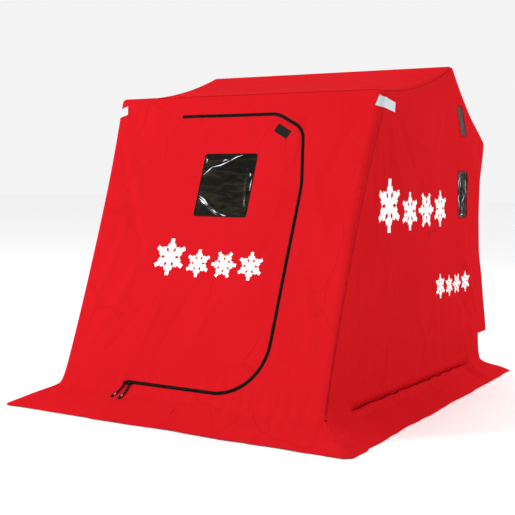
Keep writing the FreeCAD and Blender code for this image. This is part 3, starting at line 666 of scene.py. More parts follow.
def declare_sheet(piece, flat, faces, rests_on, held="stretched"):
    """Works out the box round a panel's flat cut and the cut's area, and keeps neither."""
    used = flat[np.unique(faces)]
    size = used.max(0) - used.min(0)
    area = min(flat_area(flat, faces), float(size[0] * size[1]))


SECTORS = {
    "sled_to_rear": ("sled", "rear_legs", RIM_DEGREES, BOW_DEGREES["rear"]),
    "rear_to_ridge": ("rear_legs", "ridge_legs", BOW_DEGREES["rear"], BOW_DEGREES["ridge"]),
    "ridge_to_front": ("ridge_legs", "front_legs", BOW_DEGREES["ridge"], BOW_DEGREES["front"]),
    "front_to_ground": ("front_legs", "ground_legs", BOW_DEGREES["front"], BOW_DEGREES["ground"]),
}


def side_name(side):
    """The word for a side, which is 1 or -1."""
    return "right" if side > 0 else "left"


def follow(piece, sector):
    """Makes a piece follow one body; a piece in a sector between two bows only has its placement
    baked into its mesh.
    """
    if sector in SECTORS:
        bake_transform(piece)
    else:
        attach(piece, sector)
    return piece


def ribbon(name, path, normals, width, lift, material, crown=0.0007, sag=0.0):
    """A narrow sewn strip along a path, with its length and width in metres as UV."""
    path, normals = np.asarray(path), np.asarray(normals)
    tangent = np.gradient(path, axis=0)
    tangent /= np.linalg.norm(tangent, axis=1)[:, None]
    across = np.cross(tangent, normals)
    across /= np.linalg.norm(across, axis=1)[:, None]
    length = np.concatenate([[0], np.cumsum(np.linalg.norm(np.diff(path, axis=0), axis=1))])
    rows = [(-0.5, 0.0), (-0.42, 1.0), (-0.14, 0.85), (0.14, 0.85), (0.42, 1.0), (0.5, 0.0)]
    points, uv = [], []
    for share, height in rows:
        drop = sag * (2 * share) ** 2
        points.append(path + across * width * share + normals * (lift + crown * height - drop))
        uv.append(np.column_stack([length, np.full(len(path), share * width)]))
    faces = strip_faces(len(rows), len(path))
    return make_piece(name, np.vstack(points), faces, [material], uv=np.vstack(uv))


# ------------------------------------------------------------------ materials

class Surface:
    """A node material with short calls for noise, ramps and bumps."""

    def __init__(self, name, **inputs):
        self.material = bpy.data.materials.new(name)
        self.material.use_nodes = True
        self.tree = self.material.node_tree
        self.shader = self.tree.nodes["Principled BSDF"]
        for key, value in inputs.items():
            self.shader.inputs[key.replace("_", " ")].default_value = value
        self.place = self.node("ShaderNodeTexCoord").outputs["Object"]
        self.height = None

    def node(self, kind, **settings):
        made = self.tree.nodes.new(kind)
        for key, value in settings.items():
            setattr(made, key, value)
        return made

    def link(self, source, target):
        self.tree.links.new(source, target)

    def noise(self, scale, detail=3.0, roughness=0.55, stretch=None, distortion=0.0):
        made = self.node("ShaderNodeTexNoise")
        made.inputs["Scale"].default_value = scale
        made.inputs["Detail"].default_value = detail
        made.inputs["Roughness"].default_value = roughness
        made.inputs["Distortion"].default_value = distortion
        source = self.place
        if stretch:
            mapping = self.node("ShaderNodeMapping")
            mapping.inputs["Scale"].default_value = stretch
            self.link(self.place, mapping.inputs["Vector"])
            source = mapping.outputs["Vector"]
        self.link(source, made.inputs["Vector"])
        return made.outputs["Fac"]

    def creases(self, scale, width, seed):
        """Thin wandering lines: 1 in the hollow of a crease and 0 beside it, in some patches."""
        wander = self.node("ShaderNodeTexNoise")
        wander.inputs["Scale"].default_value = scale * 0.8
        wander.inputs["Detail"].default_value = 2.0
        self.link(self.place, wander.inputs["Vector"])
        offset = self.node("ShaderNodeVectorMath", operation="MULTIPLY_ADD")
        self.link(wander.outputs["Color"], offset.inputs[0])
        offset.inputs[1].default_value = (0.16, 0.16, 0.16)
        self.link(self.place, offset.inputs[2])
        moved = self.node("ShaderNodeMapping")
        moved.inputs["Location"].default_value = (seed, seed * 0.7, seed * 0.3)
        moved.inputs["Scale"].default_value = (1.0, 1.0, 0.30)
        self.link(offset.outputs[0], moved.inputs["Vector"])
        edge = self.cells(scale, moved.outputs["Vector"])
        line = self.ramp(edge, [(0.0, 1.0), (width, 0.0)], colour=False)
        some = self.ramp(self.noise(scale * 0.6, 2.0), [(0.50, 0.0), (0.62, 1.0)], colour=False)
        return self.math("MULTIPLY", line, some)

    def cells(self, scale, place=None):
        """How far each place is from the edge of its cell."""
        made = self.node("ShaderNodeTexVoronoi", feature="DISTANCE_TO_EDGE")
        made.inputs["Scale"].default_value = scale
        self.link(place or self.place, made.inputs["Vector"])
        return made.outputs["Distance"]

    def bands(self, direction, period):
        made = self.node("ShaderNodeTexWave", bands_direction=direction)
        made.inputs["Scale"].default_value = 2 * math.pi / (20 * period)
        self.link(self.place, made.inputs["Vector"])
        return made.outputs["Fac"]

    def math(self, operation, *values):
        made = self.node("ShaderNodeMath", operation=operation)
        for socket, value in zip(made.inputs, values):
            if isinstance(value, float):
                socket.default_value = value
            else:
                self.link(value, socket)
        return made.outputs[0]

    def ramp(self, source, stops, colour=True):
        made = self.node("ShaderNodeValToRGB")
        ramp = made.color_ramp
        ramp.elements[0].position, ramp.elements[1].position = stops[0][0], stops[-1][0]
        for position, _ in stops[1:-1]:
            ramp.elements.new(position)
        for element, (position, value) in zip(ramp.elements, stops):
            element.position = position
            element.color = (*value, 1) if colour else (value, value, value, 1)
        self.link(source, made.inputs["Fac"])
        return made.outputs["Color"]

    def colour(self, source):
        self.link(source, self.shader.inputs["Base Color"])

    def rough(self, source, low, high):
        made = self.node("ShaderNodeMapRange")
        made.inputs["To Min"].default_value = low
        made.inputs["To Max"].default_value = high
        self.link(source, made.inputs["Value"])
        self.link(made.outputs["Result"], self.shader.inputs["Roughness"])

    def bump(self, height, distance, strength=1.0):
        made = self.node("ShaderNodeBump")
        made.inputs["Distance"].default_value = distance
        made.inputs["Strength"].default_value = strength
        self.link(height, made.inputs["Height"])
        if self.height is not None:
            self.link(self.height, made.inputs["Normal"])
        self.height = made.outputs["Normal"]
        self.link(self.height, self.shader.inputs["Normal"])

    def mix(self, share, first, second):
        made = self.node("ShaderNodeMix", data_type="RGBA")
        for socket, value in ((made.inputs[0], share), (made.inputs[6], first),
                              (made.inputs[7], second)):
            if isinstance(value, tuple):
                socket.default_value = (*value, 1)
            elif isinstance(value, float):
                socket.default_value = value
            else:
                self.link(value, socket)
        return made.outputs[2]


def weave_height(surface, period):
    """Threads in three directions, so that a plain weave shows on a panel of any slope."""
    threads = [surface.bands(direction, period) for direction in "XYZ"]
    both = surface.math("MULTIPLY", threads[0], threads[2])
    return surface.math("ADD", both, surface.math("MULTIPLY", threads[1], 0.6))


def red_fabric(name="red_fabric", stitched=False):
    """Plain-woven nylon with soft creases, painted darker in their hollows as shade; a seam also has
    two rows of stitches and painted shade in a dark line along its middle groove.
    """
    surface = Surface(name, Specular_IOR_Level=0.001)
    red = surface.ramp(surface.noise(2.6, 4.0), [
        (0.30, (0.545, 0.0084, 0.0132)), (0.52, (0.563, 0.0090, 0.0140)),
        (0.72, (0.581, 0.0097, 0.0148))])
    fine = surface.noise(420.0, 2.0)
    red = surface.mix(surface.math("MULTIPLY", fine, 0.10), red, (0.42, 0.005, 0.009))
    surface.rough(surface.noise(14.0, 4.0), 0.55, 0.70)
    surface.bump(weave_height(surface, 0.0014), 0.00012, 0.35)
    surface.bump(surface.noise(46.0, 3.0, 0.5, distortion=0.4), 0.0005, 0.25)
    # painted shade: the colour is darkened in the hollow of each thin crease line, which is also
    # bumped
    thin = surface.creases(4.2, 0.030, 3.0)
    red = surface.mix(surface.math("MULTIPLY", thin, 0.22), red, (0.34, 0.005, 0.009))
    surface.bump(thin, 0.0020, 0.45)
    surface.bump(surface.creases(9.0, 0.045, 11.0), 0.0010, 0.35)
    if stitched:
        uv = surface.node("ShaderNodeUVMap", uv_map="UVMap").outputs["UV"]
        split = surface.node("ShaderNodeSeparateXYZ")
        surface.link(uv, split.inputs[0])
        run = surface.math("MODULO", split.outputs["X"], 0.0045)
        dash = surface.math("LESS_THAN", run, 0.0033)
        off_line = surface.math("ABSOLUTE", split.outputs["Y"])
        off_row = surface.math("ABSOLUTE", surface.math("SUBTRACT", off_line, 0.0016))
        stitch = surface.math("MULTIPLY", dash, surface.math("LESS_THAN", off_row, 0.0006))
        # painted shade: a dark line along the seam's middle stands in for the shade in its groove
        groove_shade = surface.math("LESS_THAN", off_line, 0.0007)
        red = surface.mix(groove_shade, red, (0.16, 0.004, 0.007))
        red = surface.mix(stitch, red, (0.30, 0.005, 0.009))
        surface.bump(stitch, 0.0005, 0.8)
    surface.colour(red)
    return surface.material


def vent_mesh():
    """Open dark netting."""
    surface = Surface("vent_mesh")
    threads = surface.math("MULTIPLY", surface.bands("Y", 0.0026), surface.bands("Z", 0.0026))
    surface.colour(surface.ramp(threads, [
        (0.1, (0.010, 0.010, 0.007)), (0.6, (0.030, 0.028, 0.016)), (0.95, (0.060, 0.055, 0.030))]))
    surface.rough(surface.noise(80.0), 0.65, 0.9)
    surface.bump(threads, 0.0006, 0.7)
    return surface.material


def reflective_tape():
    """Pale glass-bead tape with a fine cell print."""
    surface = Surface("reflective_tape", Coat_Weight=0.3)
    cells = surface.cells(260.0)
    surface.colour(surface.ramp(cells, [
        (0.02, (0.46, 0.50, 0.54)), (0.12, (0.56, 0.62, 0.66)), (0.60, (0.64, 0.69, 0.73))]))
    surface.rough(surface.noise(70.0), 0.28, 0.46)
    surface.bump(cells, 0.0003, 0.4)
    return surface.material


def seat_vinyl():
    """Black grained vinyl with rubbed highlights."""
    surface = Surface("seat_vinyl", Coat_Weight=0.12, Coat_Roughness=0.3)
    grain = surface.ramp(surface.cells(420.0), [(0.0, 0.0), (0.16, 1.0)], colour=False)
    surface.colour(surface.ramp(surface.noise(16.0, 7.0, 0.7), [
        (0.30, (0.014, 0.014, 0.016)), (0.65, (0.026, 0.027, 0.030)),
        (0.85, (0.055, 0.056, 0.06))]))
    surface.rough(surface.noise(38.0, 5.0), 0.34, 0.58)
    surface.bump(grain, 0.00035, 0.5)
    return surface.material


def plain(name, mottle, stops, rough, bumps, **inputs):
    """A finish made of noises: its colour, its roughness as (noise, low, high), and its bumps.

    Each bump is (height, distance, strength), where the height is a noise or a weave's period.
    """
    surface = Surface(name, **inputs)
    surface.colour(surface.ramp(surface.noise(*mottle), stops))
    surface.rough(surface.noise(*rough[0]), *rough[1:])
    for height, distance, strength in bumps:
        if isinstance(height, tuple):
            height = surface.noise(*height)
        else:
            height = weave_height(surface, height)
        surface.bump(height, distance, strength)
    return surface.material


def steel(name, dark, light, low, high, brushed=(1.0, 1.0, 18.0)):
    """Bare metal, brushed one way, with uneven gloss."""
    lines = (60.0, 4.0, 0.6, brushed)
    return plain(name, lines, [(0.3, dark), (0.7, light)], ((24.0, 6.0, 0.65), low, high),
                 [(lines, 0.0002, 0.25)], Metallic=1.0)


RED = red_fabric()
STITCHED = red_fabric("red_stitched", stitched=True)
MESH = vent_mesh()
TAPE = reflective_tape()
SEAT = seat_vinyl()
# screen-printed ink, slightly worn, with the weave through it
PRINT = plain("white_print", (55.0, 6.0, 0.75), [
    (0.28, (0.76, 0.66, 0.66)), (0.40, (0.90, 0.89, 0.88)), (0.75, (0.94, 0.94, 0.93))],
    ((30.0,), 0.42, 0.6), [(0.0014, 0.00012, 0.3)], Specular_IOR_Level=0.4)
# clear glossy vinyl lying on the black blind sewn behind it, olive in soft streaks
VINYL = plain("window_vinyl", (7.0, 5.0, 0.6, (1.0, 1.0, 5.0), 0.7), [
    (0.34, (0.0012, 0.0012, 0.0008)), (0.50, (0.0050, 0.0046, 0.0028)),
    (0.60, (0.0170, 0.0155, 0.0070)), (0.72, (0.0024, 0.0025, 0.0020))],
    ((60.0, 4.0), 0.08, 0.20), [((9.0, 2.0, 0.5, None, 0.6), 0.0008, 0.20)],
    Specular_IOR_Level=0.09)
# painted glints: pale, glossy marks painted along the vinyl's creases, where they catch the light
VINYL_GLINT = plain("vinyl_painted_glint", (160.0, 4.0, 0.7), [
    (0.34, (0.22, 0.24, 0.27)), (0.46, (0.72, 0.75, 0.82)), (0.70, (0.86, 0.88, 0.92))],
    ((90.0,), 0.06, 0.18), [((200.0, 2.0), 0.0005, 0.5)], Specular_IOR_Level=0.6)
ZIP = plain("zip_black", (90.0, 4.0), [
    (0.3, (0.0032, 0.0022, 0.0016)), (0.7, (0.0070, 0.0052, 0.0040))],
    ((120.0,), 0.4, 0.7), [(0.0011, 0.0002, 0.5)], Specular_IOR_Level=0.06)
# painted glint: a pale grey stripe near a zip pull's grip, standing in for the light along its edge
PULL_GLINT = plain("zip_pull_painted_glint", (140.0, 3.0), [
    (0.3, (0.30, 0.29, 0.29)), (0.7, (0.48, 0.47, 0.47))],
    ((60.0,), 0.65, 0.85), [(0.0016, 0.0004, 0.6)], Sheen_Weight=0.2)
HOOKS = plain("hook_patch", (900.0, 2.0), [
    (0.35, (0.004, 0.004, 0.004)), (0.65, (0.026, 0.026, 0.027))],
    ((200.0,), 0.85, 1.0), [((900.0, 2.0), 0.0012, 0.8)], Specular_IOR_Level=0.06)
MOULDED = plain("moulded_black", (22.0, 6.0), [
    (0.3, (0.012, 0.012, 0.013)), (0.8, (0.030, 0.030, 0.031))],
    ((40.0, 5.0), 0.45, 0.7), [((640.0, 2.0), 0.00025, 0.4)])
# rotomoulded polyethylene: pebbled, with pale scuffs
SCUFFS = (7.0, 9.0, 0.75, (1.0, 6.0, 3.0))
HULL = plain("sled_plastic", SCUFFS, [
    (0.35, (0.018, 0.019, 0.021)), (0.62, (0.030, 0.031, 0.033)), (0.80, (0.085, 0.086, 0.088))],
    (SCUFFS, 0.36, 0.75), [((520.0, 2.0), 0.0003, 0.35), (SCUFFS, 0.0008, 0.3)])
# powder-coated tube: orange-peel gloss with rubbed places
WEAR = (34.0, 8.0, 0.78)
COATED = plain("black_steel", WEAR, [
    (0.40, (0.014, 0.014, 0.016)), (0.66, (0.022, 0.022, 0.024)), (0.82, (0.09, 0.09, 0.095))],
    (WEAR, 0.30, 0.62), [((700.0, 1.0), 0.0002, 0.3)], Specular_IOR_Level=0.5)


def finish_cad_nodes():
    """Gives every CAD node that stays in view its real finish."""
    by_slot = {
        "sled_plastic": HULL,
        "zinc_steel": steel("zinc_steel", (0.42, 0.43, 0.45), (0.66, 0.67, 0.69), 0.24, 0.48),
        "black_steel": COATED,
        "hoop_steel": steel("hoop_steel", (0.34, 0.35, 0.36), (0.58, 0.59, 0.60), 0.26, 0.50),
        "aluminium_strip": steel("aluminium_strip", (0.58, 0.58, 0.60), (0.80, 0.80, 0.82), 0.28,
                                 0.48, brushed=(1.0, 20.0, 20.0)),
        "moulded_black": MOULDED,
    }
    for part in frame["record"]["subparts"]:
        material = by_slot.get(part["material_slot"])
        if material is None:
            continue
        node = frame["nodes"][part["node"]]
        for slot in node.material_slots:
            slot.link = "OBJECT"
            slot.material = material


# ------------------------------------------------------------------ generic printed motif

def snow_crystal(middle, radius, lean=0.0):
    """A plain six-armed snow crystal as one closed loop."""
    loop = []
    for arm in range(6):
        turn = math.radians(60 * arm) + lean
        outline = [(0.26, -0.150), (0.42, -0.140), (0.52, -0.300), (0.74, -0.210), (0.68, -0.130),
                   (1.00, -0.115), (1.00, 0.115), (0.68, 0.130), (0.74, 0.210), (0.52, 0.300),
                   (0.42, 0.140), (0.26, 0.150)]
        for along, off in outline:
            loop.append((middle[0] + radius * (along * math.cos(turn) - off * math.sin(turn)),
                         middle[1] + radius * (along * math.sin(turn) + off * math.cos(turn))))
    return np.array(loop)


def crystal_row(left, right, low, high):
    """A generic winter motif: a large snow crystal, and three smaller ones on the same line."""
    large = (high - low) / 2
    gap = large * 0.10
    small = (right - left - 2 * large - 3 * gap) / 6
    loops = [snow_crystal((left + large, low + large), large, math.radians(30))]
    for k in range(3):
        middle = left + 2 * large + gap + small + k * (2 * small + gap)
        loops.append(snow_crystal((middle, low + small), small, math.radians(30) * (1 - k % 2)))
    return loops


DOOR_MOTIF = crystal_row(-0.34, 0.30, 0.605, 0.795)
SIDE_MOTIF = crystal_row(-0.37, 0.50, 0.880, 1.14)
SMALL_MOTIF = crystal_row(0.33, 0.82, 0.495, 0.625)


# ------------------------------------------------------------------ front wall and door

def panel_outline(name):
    """A panel across the shell, out to the middle of its round corners, in (x, row)."""
    rows = leg_rows(name, 60)
    base, _ = leg(name, rows)
    half = shell_half(base) - corner_inset(90, corner_round(base))
    return np.vstack([np.column_stack([half, rows]), np.column_stack([-half, rows])[::-1]])


def window_loop(grow=0.0):
    """The outline of the door window in (x, s), grown by a margin."""
    half = WINDOW_HALF_WIDTH + grow
    low, high = WINDOW_LOW - grow, WINDOW_HIGH + grow
    return rounded_loop([(-half, low, 0.012), (half, low, 0.012), (half, high, 0.012),
                         (-half, high, 0.012)], 0.004)


def make_front():
    """The front wall and the door, cut from one net along the zip line."""
    outline = panel_outline("front")
    door = rounded_loop(DOOR_CORNERS, 0.008)
    window = window_loop()
    flat, faces = net(outline, [door, window] + DOOR_MOTIF)
    points = front_point(flat)
    normals = vertex_normals(points, faces)
    middles = flat[faces].mean(1)
    in_door = inside(middles, door)
    in_window = inside(middles, window)
    printed = np.zeros(len(faces), int)
    for loop in DOOR_MOTIF:
        printed[inside(middles, loop)] = 1

    wall = faces[~in_door]
    piece = make_piece("front_wall_fabric", points, wall, [RED], normals=normals)
    declare_sheet(piece, flat, wall, ["front_hoop", "ground_hoop"])
    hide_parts("front_wall")
    follow(piece, "front_to_ground")

    panel = in_door & ~in_window
    piece = make_piece("door_fabric", points, faces[panel], [RED, PRINT], which=printed[panel],
                       normals=normals)
    declare_sheet(piece, flat, faces[panel], ["front_wall_fabric"])
    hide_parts("door_panel")
    hang_on_door(piece)

    make_door_window(window)
    make_door_frame()


def hang_on_door(piece, body="door"):
    """The piece moves with the door's body or a slider's, with its own copy of its mesh."""
    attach(piece, body)
    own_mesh(piece)


def glint_loop(places, width):
    """A thin pointed painted glint through places, as a closed loop that is 1.4 widths across."""
    places = np.array(places)
    ahead = unit(places[-1] - places[0])
    off = np.array([-ahead[1], ahead[0]]) * width * 0.7
    middle = places[1:-1]
    return np.vstack([places[:1], middle - off, places[-1:], middle[::-1] + off])


def make_pane(name, flat_net, place, creases):
    """A vinyl pane with painted glints: pale marks painted in loops along its creases."""
    flat, faces = flat_net
    middles = flat[faces].mean(1)
    glinting = np.zeros(len(faces), int)
    for loop in creases:
        glinting[inside(middles, loop)] = 1
    return make_piece(name, place(flat), faces, [VINYL, VINYL_GLINT], which=glinting)


# painted glints on the door window: pale marks along its creases, in (x, s)
DOOR_GLINTS = [
    glint_loop([(-0.145, 1.133), (-0.118, 1.160), (-0.096, 1.181)], 0.0042),
    glint_loop([(-0.104, 1.176), (-0.050, 1.188), (0.004, 1.212)], 0.0046),
    glint_loop([(-0.046, 1.204), (-0.030, 1.216), (-0.012, 1.214)], 0.0040),
    glint_loop([(-0.010, 1.206), (0.030, 1.228), (0.072, 1.240)], 0.0040),
    glint_loop([(-0.146, 1.226), (-0.138, 1.215), (-0.140, 1.196)], 0.0030),
    glint_loop([(-0.144, 1.024), (-0.108, 1.003), (-0.076, 0.974)], 0.0056),
    glint_loop([(-0.140, 1.012), (-0.112, 0.988), (-0.080, 0.972)], 0.0036),
    glint_loop([(-0.050, 0.954), (-0.034, 0.943), (-0.020, 0.936)], 0.0040),
    glint_loop([(-0.004, 0.932), (0.018, 0.925), (0.040, 0.922)], 0.0034),
    glint_loop([(0.128, 1.148), (0.133, 1.136), (0.131, 1.126)], 0.0040),
    glint_loop([(0.146, 1.118), (0.143, 1.084), (0.144, 1.050)], 0.0026),
]


def make_door_window(window):
    """The creased vinyl pane behind its binding."""
    def place(flat):
        crease_height = 0.0004 * ripples(flat, 0.090, 35, 40, 31)
        crease_height += fold(flat, (-0.148, 1.13), (0.08, 1.245), 0.007, 0.0045)
        crease_height += fold(flat, (-0.150, 1.02), (0.150, 1.19), 0.010, -0.0040)
        crease_height += fold(flat, (-0.150, 1.03), (0.06, 0.90), 0.008, 0.0040)
        crease_height += fold(flat, (0.118, 1.20), (0.140, 0.95), 0.008, 0.0030)
        settled = 1 - near(distance_to(flat, divided(window, 0.004, True)), 0.012)
        lift = FRONT_OUT * (crease_height * settled)[:, None]
        return front_point(flat, -0.0015) + lift

    flat_net = net(window_loop(0.004), DOOR_GLINTS, spacing=0.006)
    piece = make_pane("door_window_vinyl", flat_net, place, DOOR_GLINTS)
    declare_sheet(piece, *flat_net, ["door_fabric"])
    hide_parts("door_window")
    hang_on_door(piece)


def strip_on_front(name, path, spacing, width, lift, material):
    """A sewn strip on the front wall's surface along a path in (x, s)."""
    points = front_point(divided(path, spacing))
    return ribbon(name, points, np.tile(FRONT_OUT, (len(points), 1)), width, lift, material)


def make_door_frame():
    """The thin dark binding round the door's window."""
    loop = window_loop(0.001)
    path = np.vstack([loop, loop[:2]])
    piece = strip_on_front("door_window_binding", path, 0.008, 0.0045, 0.0002, ZIP)
    hang_on_door(piece)


# ------------------------------------------------------------------ zip

def zip_half(name, side):
    """One half of the zip: a tape, and a ribbed coil along the meeting line.

    It runs along the door's top, down its free side and back along its bottom.
    """
    path = divided(rounded_loop(DOOR_CORNERS, 0.004)[::-1], 0.0022)
    tangent = np.gradient(path, axis=0)
    tangent /= np.linalg.norm(tangent, axis=1)[:, None]
    normal = np.column_stack([tangent[:, 1], -tangent[:, 0]]) * side
    rib = 0.5 + 0.5 * np.cos(np.arange(len(path)) * math.pi + (0 if side > 0 else math.pi))
    rows = [(0.0002, 0.0004, 0), (0.0005, 0.0019, 1), (0.0016, 0.0027, 1), (0.0028, 0.0019, 1),
            (0.0034, 0.0010, 0), (0.0085, 0.0009, 0), (0.0090, 0.0000, 0)]
    points = []
    for off, lift, ribbed in rows:
        if ribbed:
            height = lift + 0.0009 * rib - 0.0004
            points.append(front_point(path + normal * off) + FRONT_OUT * height[:, None])
        else:
            points.append(front_point(path + normal * off, lift))
    faces = strip_faces(len(rows), len(path))
    if side < 0:
        faces = [f[::-1] for f in faces]
    return make_piece(name, np.vstack(points), faces, [ZIP])


def make_zip():
    """The zip: one half stays on the wall, and the other moves with the door."""
    wall_half = zip_half("zip_wall_half", -1)
    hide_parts("door_zipper")
    follow(wall_half, "front_to_ground")
    door_half = zip_half("zip_door_half", 1)
    hang_on_door(door_half)


def box_mesh(size, bevel, segments=3):
    """A box with rounded edges, centred on the origin."""
    mesh = bpy.data.meshes.new("block")
    x, y, z = (s / 2 for s in size)
    corners = [(-x, -y, -z), (x, -y, -z), (x, y, -z), (-x, y, -z),
               (-x, -y, z), (x, -y, z), (x, y, z), (-x, y, z)]
    mesh.from_pydata(corners, [], [(0, 3, 2, 1), (4, 5, 6, 7), (0, 1, 5, 4), (1, 2, 6, 5),
                                   (2, 3, 7, 6), (3, 0, 4, 7)])
    block = in_scene("block", mesh)
    edge = block.modifiers.new("edge", "BEVEL")
    edge.width, edge.segments, edge.limit_method = bevel, segments, "NONE"
    done = applied_mesh(block)
    bpy.data.objects.remove(block)
    return done


def applied_mesh(piece):
    """The piece's mesh with its modifiers applied."""
    graph = bpy.context.evaluated_depsgraph_get()
    graph.update()
    return bpy.data.meshes.new_from_object(piece.evaluated_get(graph))


def on_front(x, s, lift, lean_degrees=0.0):
    """A frame standing on the front wall: X across, Y up the slope, Z out, turned by a lean."""
    along, out = np.array([0, *SLOPE]), FRONT_OUT
    turn = math.radians(lean_degrees)
    across = np.array([1.0, 0, 0])
    first = across * math.cos(turn) + along * math.sin(turn)
    second = -across * math.sin(turn) + along * math.cos(turn)
    spot = front_point(np.array([[x, s]]), lift)[0]
    return Matrix(((first[0], second[0], out[0], spot[0]), (first[1], second[1], out[1], spot[1]),
                   (first[2], second[2], out[2], spot[2]), (0, 0, 0, 1)))


def joined(name, parts, materials):
    """One object from (mesh, matrix, material index) parts."""
    points, faces, which = [], [], []
    for mesh, matrix, index in parts:
        first = len(points)
        points += [tuple(matrix @ v.co) for v in mesh.vertices]
        for polygon in mesh.polygons:
            faces.append([first + v for v in polygon.vertices])
            which.append(index)
    return make_piece(name, np.array(points), faces, materials, which=which)


def make_slider(name, body, node, x, tip):
    """A moulded zip slider: its black strap hangs over the foot, with a painted glint, a pale
    stripe, at the grip.
    """
    start = np.array([x, DOOR_BOTTOM - 0.007])
    tip = np.array(tip)
    ahead = unit(tip - start)
    lean = math.degrees(math.atan2(ahead[0], -ahead[1]))
    base = on_front(*start, 0.0)
    grip = on_front(*(tip - ahead * 0.012), 0.0058, lean)
    strap = strip_on_front("strap", [start + ahead * 0.004, tip - ahead * 0.010], 0.004,
                           0.012, 0.0056, ZIP)
    # painted glint: a pale strip near the grip
    grip_glint = strip_on_front("grip_glint", [tip - ahead * 0.042, tip - ahead * 0.016], 0.004,
                            0.0045, 0.0070, PULL_GLINT)
    parts = [
        (box_mesh((0.026, 0.016, 0.0032), 0.0014), base @ Matrix.Translation((0, 0, 0.0046)), 0),
        (box_mesh((0.020, 0.013, 0.0030), 0.0013), base @ Matrix.Translation((0, 0, 0.0078)), 0),
        (box_mesh((0.006, 0.012, 0.0050), 0.0018), base @ Matrix.Translation((0, 0, 0.0088)), 0),
        (strap.data, Matrix(), 0),
        (grip_glint.data, Matrix(), 1),
        (box_mesh((0.0135, 0.026, 0.0048), 0.0018), grip, 0),
    ]
    piece = joined(name, parts, [ZIP, PULL_GLINT])
    bpy.data.objects.remove(strap)
    bpy.data.objects.remove(grip_glint)
    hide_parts(node)
    hang_on_door(piece, body)


def make_patch():
    """The hook-and-loop square, thicker in its middle and thinning to its edge."""
    half_u, half_v = PATCH_SIZE[0] / 2, PATCH_SIZE[1] / 2
    turn = math.radians(PATCH_LEAN)
    loop = rounded_loop([(-half_u, -half_v, 0.004), (half_u, -half_v, 0.004),
                         (half_u, half_v, 0.004), (-half_u, half_v, 0.004)], 0.002)
    flat, faces = net(loop, spacing=0.004)
    rim = distance_to(flat, divided(loop, 0.002, True))
    placed = np.column_stack([
        PATCH_MIDDLE[0] + flat[:, 0] * math.cos(turn) - flat[:, 1] * math.sin(turn),
        PATCH_MIDDLE[1] + flat[:, 0] * math.sin(turn) + flat[:, 1] * math.cos(turn)])
    thickness = 0.0016 * (1 - near(rim, 0.005))
    points = front_point(placed, 0.0003) + FRONT_OUT * thickness[:, None]
    piece = make_piece("door_patch_hooks", points, faces, [HOOKS])
    declare_sheet(piece, flat, faces, ["door_fabric"])
    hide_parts("door_patch")
    hang_on_door(piece)


# ------------------------------------------------------------------ side walls

def make_side(side):
    """One side wall, cut into the fabric of each pair of bows, with its window and vent."""
    word = side_name(side)
    window = rounded_loop(SIDE_WINDOW, 0.006)
    vent = rounded_loop(SIDE_VENT, 0.004)
    rays = [np.array([PIVOT, from_pivot(degrees, 1.8)]) for degrees in BOW_DEGREES.values()]
    rays += [np.array([PIVOT, RIM_REAR]), np.array([PIVOT, SPLIT_FOOT])]
    motifs = SIDE_MOTIF + SMALL_MOTIF
    flat, faces = net(SIDE_OUTLINE, [window, vent] + motifs, rays)
    points = side_point(flat, seed=SIDE_SEEDS[side]) * np.array([side, 1, 1])
    if side < 0:
        faces = faces[:, ::-1]
    normals = vertex_normals(points, faces)
    middles = flat[faces].mean(1)
    opening = inside(middles, window) | inside(middles, vent)
    printed = np.zeros(len(faces), int)
    for loop in motifs:
        printed[inside(middles, loop)] = 1
    turn = degrees_about_pivot(middles)
    lean = (PIVOT[0] - SPLIT_FOOT[0]) / (PIVOT[1] - SPLIT_FOOT[1])
    behind_split = middles[:, 0] - SPLIT_FOOT[0] > (middles[:, 1] - SPLIT_FOOT[1]) * lean
    below_pivot = middles[:, 1] < PIVOT[1]
    on_sled, on_skirt = below_pivot & behind_split, (turn < -60) & ~behind_split & below_pivot
    regions = {
        "sled": ((turn < RIM_DEGREES) | ((turn > 200) & on_sled)) & ~on_skirt,
        "ground_legs": ((turn > BOW_DEGREES["ground"]) & ~on_sled) | on_skirt,
    }
    for name, (_, _, from_degrees, to_degrees) in SECTORS.items():
        regions[name] = (turn >= from_degrees) & (turn < to_degrees)
    for name, region in regions.items():
        chosen = region & ~opening
        piece = make_piece(f"side_{word}_{name}", points, faces[chosen], [RED, PRINT],
                           which=printed[chosen], normals=normals)
        declare_sheet(piece, flat, faces[chosen], [f"side_wall_{word}"])
        follow(piece, name)
    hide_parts(f"side_wall_{word}")
    make_side_pane(side, "window", window, "sled_to_rear")
    make_side_pane(side, "vent", vent, "rear_to_ridge")


# painted glints on the side windows: pale marks along their creases, in (y, z)
SIDE_GLINTS = [
    glint_loop([(0.684, 1.160), (0.688, 1.120), (0.684, 1.070)], 0.0050),
    glint_loop([(0.690, 1.050), (0.682, 1.010), (0.688, 0.960)], 0.0050),
    glint_loop([(0.724, 1.150), (0.712, 1.110), (0.720, 1.080)], 0.0040),
    glint_loop([(0.742, 1.060), (0.726, 1.000), (0.732, 0.950)], 0.0040),
    glint_loop([(0.776, 1.130), (0.770, 1.090), (0.778, 1.040)], 0.0040),
    glint_loop([(0.706, 0.945), (0.730, 0.930), (0.756, 0.932)], 0.0040),
]


